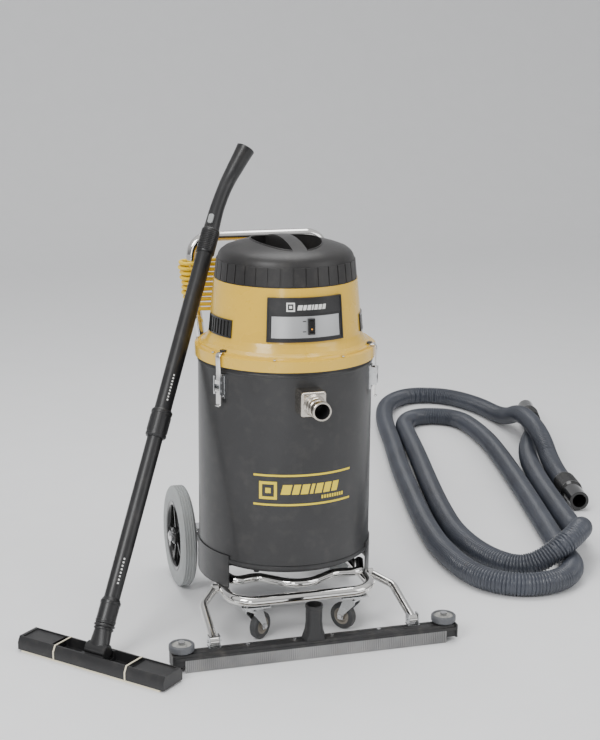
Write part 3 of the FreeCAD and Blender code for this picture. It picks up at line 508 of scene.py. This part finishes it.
# ---------------------------------------------------------------- head
LID_TOP = [(141, 893), (122, 900), (100, 906), (70, 912.5), (35, 916.6), (0, 918)]
WELL_HALF_WIDTH = 80
WELL_HALF_LENGTH = 120
CARRY_BAR_HALF = 17


def lid_top(radius):
    for (outer, low), (inner, high) in zip(LID_TOP, LID_TOP[1:]):
        if radius >= inner:
            return low + (high - low) * (outer - radius) / (outer - inner)


def well_edge(sign, count):
    """Points along the curved side of a finger recess, from one end of the carry bar to the other."""
    reach = math.acos(CARRY_BAR_HALF / WELL_HALF_WIDTH)
    for step in range(count + 1):
        angle = reach * (2 * step / count - 1)
        yield sign * WELL_HALF_WIDTH * math.cos(angle), WELL_HALF_LENGTH * math.sin(angle)


def build_lid():
    dome = Shape().lathe([
        *LID_TOP[::-1], (151, 885.5), (155.5, 879), (157.6, 873), (159, 866), (163.9, 826), (164.2, 824),
        (160, 824), (153, 860),
        (0, 860)], 180)
    lid = dome.make("lid_dome", "machine", LID_BLACK, "black_plastic", ["lid"])
    wells = Shape()
    for _, sign in SIDES:
        outline = list(well_edge(sign, 32))
        wells.prism(outline, 868, 930)
    carve(lid, wells)
    panels = Shape()
    count = 36
    for index in range(count):
        first = 360 / count * index
        panels.curved(lambda z: 164.2 - 5.6 * (z - 824) / 52, 826, 868, first + 0.5, first + 9.5, -1.0, 1.5)
        panels.curved(lambda z: 164.2 - 5.6 * (z - 824) / 52, 822, 826, first + 2.0, first + 8.0, -1.0, 1.5)
    panels.make("lid_panels", "machine", LID_BLACK, "black_plastic", bevel=0.7, segments=2)
    lip = Shape()
    for _, sign in SIDES:
        path = [(x, y, lid_top(math.hypot(x, y)) + 0.4) for x, y in well_edge(sign, 32)]
        lip.tube(path, [1.6] * len(path), sides=10)
    lip.make("lid_recess_lips", "machine", LID_BLACK, "black_plastic")
    paint(STEEL, "head_screws")


def hollow_square(shape, reach, z0, z1, first, last, low, high, wall, wall_angle):
    shape.curved(reach, z0, z0 + wall, first, last, low, high)
    shape.curved(reach, z1 - wall, z1, first, last, low, high)
    shape.curved(reach, z0 + wall, z1 - wall, first, first + wall_angle, low, high)
    shape.curved(reach, z0 + wall, z1 - wall, last - wall_angle, last, low, high)


def build_panel():
    paint(BLACK, "control_panel", "switch_frame")
    paint(SILVER, "label_plate")
    paint(BLACK_GLOSS, "switch_rocker")
    rims = Shape()
    hollow_square(rims, cone_radius, 705.5, 804.5, -29.6, 29.6, 0.2, 5.4, 3.2, 1.1)
    hollow_square(rims, cone_radius, 711.5, 766.5, -27.3, 27.3, 3.8, 5.6, 2.6, 0.9)
    rims.make("panel_rims", "machine", BLACK, "black_plastic", bevel=0.8, segments=2)
    device = Shape()
    hollow_square(device, cone_radius, 774, 794, -15.5, -9.2, 3.9, 4.3, 3.2, 1.1)
    device.curved(cone_radius, 781, 787, -13.4, -11.3, 3.9, 4.3)
    first = -7.5
    for width in (3.4, 2.4, 2.6, 1.3, 2.5, 2.5, 2.4):
        device.curved(cone_radius, 777, 788, first, first + width, 3.9, 4.3, lean=0.8)
        first += width + 0.75
    device.make("panel_device", "machine", MARK_WHITE, "silver")
    marks = Shape()
    for z in (751, 728):
        marks.curved(cone_radius, z, z + 2, -3.6, -1.2, 4.6, 5.1)
    marks.make("switch_marks", "machine", BLACK, "black_plastic")
    low = local(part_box("switch_rocker")[0])
    amber = Shape().box(low.x + 3.4, low.x + 6.6, low.y - 0.15, low.y + 2.0, 733.5, 736.5)
    amber.make("rocker_mark", "switch_rocker", MARK_AMBER, "yellow")


def build_grilles():
    for side, sign in SIDES:
        middle = sign * 76
        shape = Shape()
        shape.curved(cone_radius, 705, 743, middle - 16.4, middle + 16.4, 0.1, 0.8)
        hollow_square(shape, cone_radius, 703.5, 744.5, middle - 17.2, middle + 17.2, 0.1, 3.6, 3.4, 1.2)
        for index in range(7):
            start = middle - 13.6 + index * 4.1
            shape.curved(cone_radius, 707, 741, start, start + 1.9, 0.5, 3.0)
        replaced = ["vent_grilles"] if side == "left" else []
        shape.make("vent_louvres_" + side, "machine", BLACK_GLOSS, "black_plastic", replaced, bevel=0.5,
                   segments=2)


def build_head():
    paint(YELLOW, "head_shell")
    paint(BLACK, "drum_rim_gasket")
    paint(CLOTH, "cloth_filter")
    paint(BLACK, "float_cage")
    paint(STEEL, "motor")
    build_lid()
    build_panel()
    build_grilles()


# ---------------------------------------------------------------- drum
def build_drum():
    paint(DRUM_PAINT, "drum", "cradle_skirt")
    paint(BLACK, "drum_foot_ring")
    r = DRUM_RADIUS
    bead = Shape().lathe([(r - 4, 176), (r + 1.6, 178), (r + 2.4, 182), (r + 1.4, 186), (r - 2, 188)], 160)
    bead.lathe([(r - 1.5, 628), (r + 1.4, 629.5), (r + 2.0, 633), (r + 0.8, 636), (r - 1.5, 636)], 160)
    bead.make("drum_beads", "machine", DRUM_PAINT, "drum_black")
    stripes = Shape()
    for z in (332, 401):
        stripes.curved(drum_radius, z, z + 4.6, -36, 31, -0.2, 0.35)
    hollow_square(stripes, drum_radius, 347, 389, -32.2, -20.7, -0.2, 0.35, 6.5, 1.9)
    stripes.curved(drum_radius, 362, 374, -28.2, -24.7, -0.2, 0.35)
    first = -18.4
    for width in (6.0, 4.4, 4.8, 2.2, 4.6, 4.6, 4.4):
        stripes.curved(drum_radius, 359, 382, first, first + width, -0.2, 0.35, lean=1.6)
        first += width + 1.2
    for index in range(9):
        start = 8.5 + 1.9 * index
        stripes.curved(drum_radius, 345, 353, start, start + 1.2, -0.2, 0.35)
    stripes.make("drum_marks", "machine", MARK_YELLOW, "yellow")


def build_inlet():
    low, high = (local(corner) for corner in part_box("inlet_housing"))
    box = Shape().box(low.x, high.x, low.y, low.y + 60, low.z, high.z)
    box.make("inlet_box", "machine", NICKEL, "nickel", ["inlet_housing"], bevel=6, segments=5)
    forward = standing((low.x + high.x) / 2, low.y + 1, (low.z + high.z) / 2, (0, -1, 0))
    spigot = Shape(forward).lathe([
        (17.5, 0), (25, 0), (25, 3), (22.5, 6), (21, 8), (21, 15), (23, 17), (23, 21), (21, 23), (20.4, 25),
        (20.4, 32), (22.4, 34), (22.4, 37), (20.4, 39), (20.4, 55), (21.6, 56.5), (21.6, 59.5), (20.4,
                60.6),
        (17.6, 60.6)], 96)
    spigot.make("inlet_spout", "machine", NICKEL, "nickel", ["inlet_spigot"])
    # A black lining and back disc inside the spout: painted shade standing in for the dark hollow of the inlet.
    well = Shape(forward).lathe([(0, 0.6), (17.6, 0.6), (17.6, 57), (17.2, 57), (17.2, 1.6), (0, 1.6)], 64)
    well.make("inlet_painted_shade", "machine", BLACK, "black_plastic")


# ---------------------------------------------------------------- latches
def latch_frame(sign):
    """x points outwards from the drum at the latch, z stays up."""
    return Matrix.Rotation(math.radians(-90 + sign * 60), 4, "Z")


def build_latches():
    paint(ZINC, "latch_brackets")
    paint(CHROME, "latch_lever_left", "latch_lever_right")
    for side, sign in SIDES:
        way = latch_frame(sign)
        strap = Shape(way)
        path = [(203, 0, 675), (209, 0, 675.4), (214, 0, 673.8), (217, 0, 670), (217.8, 0, 664), (217.4,
                0, 652),
                (216.2, 0, 636), (216.6, 0, 622), (217.6, 0, 612)]
        strap.tube(path, [7.2] * len(path), sides=16, flat=0.2, start=(0, 1, 0))
        strap.box(212, 220, -7.4, 7.4, 604, 613)
        strap.make("latch_band_" + side, "latch_strap_" + side, CHROME, "chrome", ["latch_strap_" + side])
        tip = Shape(way).box(195, 206, -6.4, 6.4, 676.3, 680.2)
        tip.make("latch_tip_" + side, "latch_strap_" + side, BLACK, "black_plastic", bevel=1.2)
        curl = Shape(way)
        curl.tube([(214, 0, 562), (214.4, 0, 557), (216.5, 0, 553.4), (220, 0, 552.4)], [6.8] * 4,
                  sides=16, flat=0.24,
                  start=(0, 1, 0))
        curl.make("latch_curl_" + side, "latch_lever_" + side, CHROME, "chrome")
        rivets = Shape()
        for y, z in ((-7, 576), (7, 576), (-7, 620), (7, 620)):
            rivets.matrix = way @ standing(207.6, y, z, (1, 0, 0))
            rivets.lathe([(0, 0), (2.6, 0), (2.2, 1.2), (1.1, 1.8), (0, 2)], 20)
        rivets.make("latch_rivets_" + side, "machine", STEEL, "steel")


# ---------------------------------------------------------------- chassis
def build_chassis():
    paint(CHROME, "bumper_tube", "inner_tube", "push_handle")
    paint(ZINC, "frame_brackets", "caster_mounts")
    paint(STEEL, "rear_axle")
    paint(DARK_STEEL, "drum_bearers")


def build_rear_wheels():
    for side, sign in SIDES:
        low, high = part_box("rear_tyre_" + side)
        centre = local((low + high) / 2)
        along = standing(centre.x, centre.y, centre.z, (sign, 0, 0))
        profile = [(88, -15), (93, -18.5), (104, -20), (116, -19), (122, -16.5), (125.4, -14)]
        for groove in (-9.6, -3.2, 3.2, 9.6):
            profile += [(126.8, groove - 1.9), (124.2, groove - 1.0), (124.2, groove + 1.0), (126.8,
                    groove + 1.9)]
        profile += [(125.4, 14), (122, 16.5), (116, 19), (104, 20), (93, 18.5), (88, 15)]
        tyre = Shape(along).lathe(profile, 160)
        tyre.make("rear_tyre_tread_" + side, "rear_wheel_" + side, GREY_TYRE, "grey_tyre",
                  ["rear_tyre_" + side])
        hub = Shape(along)
        hub.lathe([(89, -16), (85, -17.5), (79, -16), (76, -9), (76, 9), (79, 16), (85, 17.5), (89, 16)],
                  128)
        hub.lathe([(8.2, -20), (17, -20), (21, -17), (22, -9), (22, 9), (21, 17), (17, 20), (8.2, 20)], 64)
        hub.lathe([(20, -3), (34, -2), (34, 2), (20, 3)], 96)
        for index in range(5):
            spoke = math.radians(72 * index + 18)
            hub.matrix = along @ Matrix.Rotation(spoke, 4, "Z")
            hub.prism([(18, -11), (77.5, -8), (77.5, 8), (18, 11)], -5, 5)
            hub.prism([(18, -3), (77.5, -2.4), (77.5, 2.4), (18, 3)], -11, 11)
        hub.make("rear_wheel_spokes_" + side, "rear_wheel_" + side, BLACK_GLOSS, "black_plastic",
                 ["rear_hub_" + side], bevel=1.0, segments=2)


def build_casters():
    for side, _ in SIDES:
        low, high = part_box("caster_wheel_" + side)
        centre = local((low + high) / 2)
        yaw = math.radians({"left": 40, "right": 128}[side])
        along = standing(centre.x, centre.y, centre.z, (-math.sin(yaw), math.cos(yaw), 0))
        tyre = Shape(along).lathe([
            (19, -8), (24, -9.6), (28.5, -9.6), (31, -7.6), (31.9, -4), (31.9, -1), (31.2, 0), (31.9, 1),
            (31.9, 4),
            (31, 7.6), (28.5, 9.6), (24, 9.6), (19, 8)], 96)
        tyre.make("caster_tyre_" + side, "caster_wheel_" + side, DARK_TYRE, "dark_tyre",
                  ["caster_wheel_" + side])
        hub = Shape(along).lathe([
            (4.2, -9.8), (7.5, -9.8), (8.2, -6), (15, -5), (17, -8), (20, -8.6), (20, 8.6), (17, 8), (15,
                    5),
            (8.2, 6), (7.5, 9.8), (4.2, 9.8)], 64)
        hub.make("caster_hub_" + side, "caster_wheel_" + side, CASTER_HUB, "dark_tyre")
        nuts = Shape()
        for end in (-1, 1):
            nuts.matrix = along @ Matrix.Translation((0, 0, end * 13.4)) @ Matrix.Rotation(
                0 if end > 0 else math.pi, 4, "X")
            hexagon = [(6.4 * math.cos(math.radians(60 * k)),
                        6.4 * math.sin(math.radians(60 * k))) for k in range(6)]
            nuts.prism(hexagon, 0, 4)
        nuts.make("caster_nuts_" + side, "caster_swivel_" + side, STEEL, "steel", bevel=0.6, segments=2)
        paint(ZINC, "caster_fork_" + side)


# ---------------------------------------------------------------- squeegee
def build_squeegee():
    paint(CHROME, "squeegee_arms")
    paint(ZINC, "squeegee_brackets")
    paint(STEEL, "squeegee_screws")
    paint(CHANNEL_BLACK, "squeegee_channel")
    paint(BLACK, "suction_pipe")
    ribs = Shape().box(-309, 309, -296, -294, 0.2, 29.5)
    pitch = 4.5
    for index in range(int(618 / pitch)):
        x = -309 + pitch * index
        ribs.box(x + 0.5, x + 3.3, -298, -295.8, 0, 29.5)
    ribs.make("front_blade_ribs", "squeegee_head", BLADE_GREY, "black_rubber", ["squeegee_blades"])
    rear = Shape().box(-320, 320, -256, -252.4, 0, 25.5)
    rear.make("rear_blade", "squeegee_head", BLADE_TAN, "cream_rubber", bevel=0.8)
    lip = Shape().box(-332, 332, -297.6, -293.8, 28.5, 35.5).box(-336, 336, -270, -262, 39.6, 41)
    for end in (-334, 334):
        lip.box(end - 2.6, end + 2.6, -296, -254, 10, 41.5)
    lip.make("channel_lips", "squeegee_head", CHANNEL_BLACK, "dark_steel", bevel=0.9)
    low, high = (local(corner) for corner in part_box("suction_pipe"))
    rim = Shape(Matrix.Translation((-7, -274, 0))).lathe([
        (16.2, 112), (19.2, 112), (20.2, 114), (20.4, 119), (19.6, 121), (17.4, 121.6), (16.2, 120.4)], 64)
    rim.make("suction_rim", "squeegee_head", BLACK, "black_plastic")
    for side, _ in SIDES:
        low, high = (local(corner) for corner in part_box("bumper_wheel_" + side))
        x, y = (low.x + high.x) / 2, (low.y + high.y) / 2
        wheel = Shape(Matrix.Translation((x, y, 0)))
        wheel.lathe([(22, 42.6), (26.5, 42.2), (28.6, 44.5), (29, 48), (29, 53), (28.6, 56.5), (26.5, 58.6),
                     (23.5, 58.8), (22, 57.2)], 96)
        wheel.make("bumper_roller_" + side, "bumper_wheel_" + side, ROLLER_GREY, "pale_roller",
                   ["bumper_wheel_" + side])
        hub = Shape(Matrix.Translation((x, y, 0))).lathe([
            (4.2, 43.4), (21.6, 43.4), (22.4, 45), (22.4, 55.6), (21, 56), (19.5, 54), (12, 53), (10.5,
                    56.6),
            (4.2, 56.6)], 72)
        hub.make("bumper_hub_" + side, "bumper_wheel_" + side, ROLLER_HUB, "pale_roller")


# ---------------------------------------------------------------- wand and floor tool
WAND_FOOT = Vector((-473, -190, 72))
WAND_HEAD = Vector((-136, 201, 881))
WAND_WAY = (WAND_HEAD - WAND_FOOT).normalized()
TOOL_PIVOT = WAND_FOOT - WAND_WAY * 39
TOOL_LINE = Vector((0.673, -0.740, 0)).normalized()


def wand_frame(angle=0):
    """z runs up the wand; x faces the camera's side, turned by an angle about the wand."""
    side = Vector((-0.25, -0.97, 0))
    side = (side - WAND_WAY * side.dot(WAND_WAY)).normalized()
    turn = Matrix((side, WAND_WAY.cross(side), WAND_WAY)).transposed().to_4x4()
    return Matrix.Translation(WAND_FOOT) @ turn @ Matrix.Rotation(math.radians(angle), 4, "Z")


def build_wand():
    paint(WAND_BLACK, "wand_lower_tube", "wand_upper_tube", "wand_coupling")
    low_marks, high_marks = Shape(wand_frame(12)), Shape(wand_frame(12))
    for index in range(8):
        low_marks.box(18.1, 18.9, -1.9, 1.9, 109 + index * 8, 113 + index * 8)
    for index in range(9):
        high_marks.box(19.6, 20.4, -1.9, 1.9, 546 + index * 7.6, 550 + index * 7.6)
    low_marks.make("wand_marks_lower", "wand_lower", MARK_WHITE, "silver", bevel=0.3, segments=2)
    high_marks.make("wand_marks_upper", "wand_upper", MARK_WHITE, "silver", bevel=0.3, segments=2)
    joint = Shape(wand_frame())
    joint.lathe([(23, 460), (24.6, 462), (24.6, 466), (23, 468)], 64)
    joint.lathe([(23, 514), (25, 515.5), (25, 522), (23, 524)], 64)
    for index in range(12):
        joint.matrix = wand_frame(30 * index)
        joint.box(23.4, 24.8, -1.6, 1.6, 472, 510)
    joint.make("wand_joint_ribs", "wand_lower", WAND_BLACK, "black_plastic", bevel=0.5, segments=2)
    foot = Shape(wand_frame()).lathe([(21.9, 22), (23.3, 23.5), (23.3, 27), (21.9, 28.5)], 64)
    foot.lathe([(21.9, 62), (23.5, 63.5), (23.5, 69.5), (21.5, 71.5)], 64)
    foot.make("wand_foot_rings", "wand_lower", WAND_BLACK, "black_plastic")

    grip = Shape(wand_frame())
    profile = [(20.1, 925), (21.6, 925)]
    for index in range(12):
        low = 927 + index * 4.6
        profile += [(22.6, low), (22.6, low + 2.6), (21.5, low + 3.2), (21.5, low + 4.0)]
    profile += [(22.6, 984), (21.2, 987), (20.1, 987)]
    grip.lathe(profile, 64)
    grip.make("grip_collar", "wand_upper", WAND_BLACK, "black_plastic")

    start = WAND_FOOT + WAND_WAY * 985
    bend = WAND_FOOT + WAND_WAY * 1045
    guide = nurbs("grip_line", [start, start.lerp(bend, 0.6), bend, (-90, 250, 984), (-72, 266, 1014),
                                (-47, 274, 1053), (-22, 282, 1092)])
    path = evenly(guide, 4)
    bpy.data.objects.remove(guide)
    path.append(Vector((-22, 282, 1092)))
    count = len(path) - 1
    radii = []
    for index in range(len(path)):
        share = index / count
        flare = max(0.0, (share - 0.62) / 0.38)
        radii.append(20.1 - 2.2 * math.sin(math.pi * min(1, share / 0.75)) + 4.0 * flare * flare)
    way = (path[-1] - path[-3]).normalized()
    tube = Shape().tube(path, radii, sides=48, flat=0.95)
    tube.make("grip_handle", "wand_upper", WAND_BLACK, "black_plastic", ["wand_grip"])
    mouth = Shape(standing(path[-1].x, path[-1].y, path[-1].z, way))
    mouth.lathe([(14.2, 2.6), (19.6, 2.6), (21.6, 1.2), (21.8, -3), (20.6, -7), (18, -9), (14.2, -2)], 64)
    mouth.make("grip_mouth_rim", "wand_upper", WAND_BLACK, "black_plastic")
    # A black disc across the grip's mouth: painted shade standing in for the dark hollow of the open end.
    throat = Shape(standing(path[-1].x, path[-1].y, path[-1].z, way))
    throat.lathe([(0, 1.2), (14.4, 1.2), (14.4, 0.4), (0, 0.4)], 48)
    throat.make("grip_painted_shade", "wand_upper", BLACK_GLOSS, "black_plastic")

    low, high = (local(corner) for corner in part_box("air_slide"))
    middle = (low + high) / 2
    away = middle - (WAND_FOOT + WAND_WAY * (middle - WAND_FOOT).dot(WAND_WAY))
    away.normalize()
    cover = Matrix((away, WAND_WAY.cross(away), WAND_WAY)).transposed().to_4x4()
    button = Shape(Matrix.Translation(middle) @ cover)
    outline = []
    for step in range(24):
        angle = 2 * math.pi * step / 24
        outline.append((6.6 * math.cos(angle),
                        4.8 * math.sin(angle) + (7.5 if math.sin(angle) > 0 else -7.5)))
    points = [(x, y, z) for x in (-2.2, 2.6) for y, z in outline]
    sides = [(i, (i + 1) % 24, 24 + (i + 1) % 24, 24 + i) for i in range(24)]
    button.add(points, sides + [tuple(range(24)), tuple(range(24, 48))[::-1]])
    button.make("air_button", "air_slide", GREY_PLASTIC, "grey_plastic", ["air_slide"], bevel=1.0)


def tool_frame():
    across = UP.cross(TOOL_LINE)
    turn = Matrix((TOOL_LINE, across, UP)).transposed().to_4x4()
    return Matrix.Translation((TOOL_PIVOT.x, TOOL_PIVOT.y, 0)) @ turn


def build_floor_tool():
    body = Shape(tool_frame())
    half, wide = 204, 35
    section = [(-wide, 4), (-wide, 22), (-wide + 7, 35), (wide - 7, 35), (wide, 22), (wide, 4)]
    points = [(x, y, z) for x in (-half, half) for y, z in section]
    count = len(section)
    faces = [(i, (i + 1) % count, count + (i + 1) % count, count + i) for i in range(count)]
    body.add(points, faces + [tuple(range(count))[::-1], tuple(range(count, 2 * count))])
    shell = body.make("floor_tool_body", "floor_tool", BLACK, "black_plastic", ["floor_tool"])
    troughs = Shape(tool_frame())
    for sign in (-1, 1):
        near, far = sorted((sign * 30, sign * 112))
        troughs.box(near, far, -wide + 11, wide - 11, 12, 60)
        near, far = sorted((sign * 112.5, sign * 196))
        troughs.box(near, far, -wide + 10, wide - 10, 32.4, 60)
    troughs.box(-31, 31, -17.5, 17.5, 19, 60)
    carve(shell, troughs)
    rounding = shell.modifiers.new("rounding", "BEVEL")
    rounding.width = 1.4 * MM
    rounding.segments = 2
    rounding.limit_method = "ANGLE"
    rounding.angle_limit = math.radians(35)
    bands = Shape(tool_frame())
    for x in (-100, 100):
        outer = [(-wide - 0.9, 3.2), (-wide - 0.9, 22.4), (-wide + 6.6, 36), (wide - 6.6, 36),
                 (wide + 0.9, 22.4),
                 (wide + 0.9, 3.2)]
        inner = [(-wide + 0.6, 5), (-wide + 0.6, 21.6), (-wide + 7.6, 34.4), (wide - 7.6, 34.4),
                 (wide - 0.6, 21.6),
                 (wide - 0.6, 5)]
        count = len(outer)
        points = [(x + dx, y, z) for dx in (-1.9, 1.9) for y, z in outer + inner]
        faces = []
        for i in range(count):
            j = (i + 1) % count
            faces += [(i, j, 2 * count + j, 2 * count + i), (count + i, 3 * count + i, 3 * count + j,
                                                             count + j),
                      (i, count + i, count + j, j), (2 * count + i, 2 * count + j, 3 * count + j,
                                                     3 * count + i)]
        bands.add(points, faces)
    bands.make("floor_tool_bands", "floor_tool", CREAM, "cream_rubber", bevel=0.4, segments=2)
    paint(CREAM, "floor_tool_strips")

    neck = Shape()
    steps = 14
    path = [TOOL_PIVOT + WAND_WAY * (58 * index / steps) for index in range(steps + 1)]
    rings = []
    for index, point in enumerate(path):
        share = index / steps
        long = 27 * (1 - share) ** 1.2 + 19.5 * (1 - (1 - share) ** 1.2)
        short = 15 + 4.5 * share
        for k in range(40):
            angle = 2 * math.pi * k / 40
            side = (TOOL_LINE - WAND_WAY * TOOL_LINE.dot(WAND_WAY)).normalized()
            other = WAND_WAY.cross(side)
            rings.append(point + side * (long * math.cos(angle)) + other * (short * math.sin(angle)))
    faces = []
    for ring in range(steps):
        a, b = ring * 40, (ring + 1) * 40
        faces += [(a + k, a + (k + 1) % 40, b + (k + 1) % 40, b + k) for k in range(40)]
    faces += [tuple(range(40))[::-1], tuple(range(steps * 40, steps * 40 + 40))]
    neck.add(rings, faces)
    neck.make("tool_neck_web", "wand_lower", BLACK, "black_plastic", ["tool_neck"])
    barrel = Shape(standing(TOOL_PIVOT.x, TOOL_PIVOT.y, TOOL_PIVOT.z, TOOL_LINE))
    barrel.lathe([(0, -28), (14, -28), (16, -26), (16, 26), (14, 28), (0, 28)], 64)
    barrel.make("tool_neck_barrel", "wand_lower", BLACK, "black_plastic")
    collar = Shape(standing(TOOL_PIVOT.x, TOOL_PIVOT.y, TOOL_PIVOT.z, WAND_WAY))
    for low, radius in ((44, 22.5), (51, 24), (57.5, 22.8)):
        collar.lathe([(15, low), (radius - 1, low), (radius, low + 1.4), (radius, low + 4), (radius - 1,
                low + 5.2),
                      (15, low + 5.2)], 64)
    collar.make("tool_neck_collars", "wand_lower", BLACK, "black_plastic")


# ---------------------------------------------------------------- stage
def build_stage():
    pale = surface("pale_floor", (0.90, 0.905, 0.915), 0.6, grain=40, depth=0.00002, mottle=0.008)
    mesh = bpy.data.meshes.new("floor")
    wide, back = 14, 5
    sweep = [(-14, 0), (back, 0)]
    for step in range(1, 13):
        angle = math.radians(7.5 * step)
        sweep.append((back + 2 * math.sin(angle), 2 - 2 * math.cos(angle)))
    sweep.append((back + 2, 9))
    points = [(x, y, z) for y, z in sweep for x in (-wide, wide)]
    faces = [(2 * i, 2 * i + 1, 2 * i + 3, 2 * i + 2) for i in range(len(sweep) - 1)]
    mesh.from_pydata(points, [], faces)
    mesh.shade_smooth()
    mesh.materials.append(pale)
    floor = bpy.data.objects.new("floor", mesh)
    bpy.context.scene.collection.objects.link(floor)

    world = bpy.data.worlds.new("studio")
    world.use_nodes = True
    bpy.context.scene.world = world
    tree = world.node_tree
    place = tree.nodes.new("ShaderNodeTexCoord")
    split = tree.nodes.new("ShaderNodeSeparateXYZ")
    ramp = tree.nodes.new("ShaderNodeValToRGB")
    ramp.color_ramp.elements[0].position = 0.0
    ramp.color_ramp.elements[0].color = (0.30, 0.30, 0.31, 1)
    ramp.color_ramp.elements[1].position = 0.55
    ramp.color_ramp.elements[1].color = (1.0, 1.0, 1.0, 1)
    tree.links.new(place.outputs["Generated"], split.inputs["Vector"])
    tree.links.new(split.outputs["Z"], ramp.inputs["Fac"])
    tree.links.new(ramp.outputs["Color"], tree.nodes["Background"].inputs["Color"])
    tree.nodes["Background"].inputs["Strength"].default_value = 0.75


def area_light(name, place, target, size, power, tall=None):
    data = bpy.data.lights.new(name, "AREA")
    data.shape = "RECTANGLE"
    data.size = size
    data.size_y = tall or size
    data.energy = power
    light = bpy.data.objects.new(name, data)
    bpy.context.scene.collection.objects.link(light)
    light.location = place
    light.rotation_mode = "QUATERNION"
    light.rotation_quaternion = (Vector(target) - Vector(place)).to_track_quat("-Z", "Y")


def build_lights():
    middle = (0.3, 0.2, 0.5)
    area_light("key", (-2.6, -2.4, 3.0), middle, 1.6, 95)
    area_light("fill", (3.2, -2.6, 2.0), middle, 2.4, 40)
    area_light("top", (0.3, 0.6, 3.6), middle, 2.2, 70)
    area_light("strip", (-1.2, -3.4, 1.2), middle, 0.5, 14, 1.8)


build_camera()
build_hose()
build_power_cord()
build_drum()
build_inlet()
build_head()
build_latches()
build_chassis()
build_rear_wheels()
build_casters()
build_squeegee()
build_wand()
build_floor_tool()
build_stage()
build_lights()
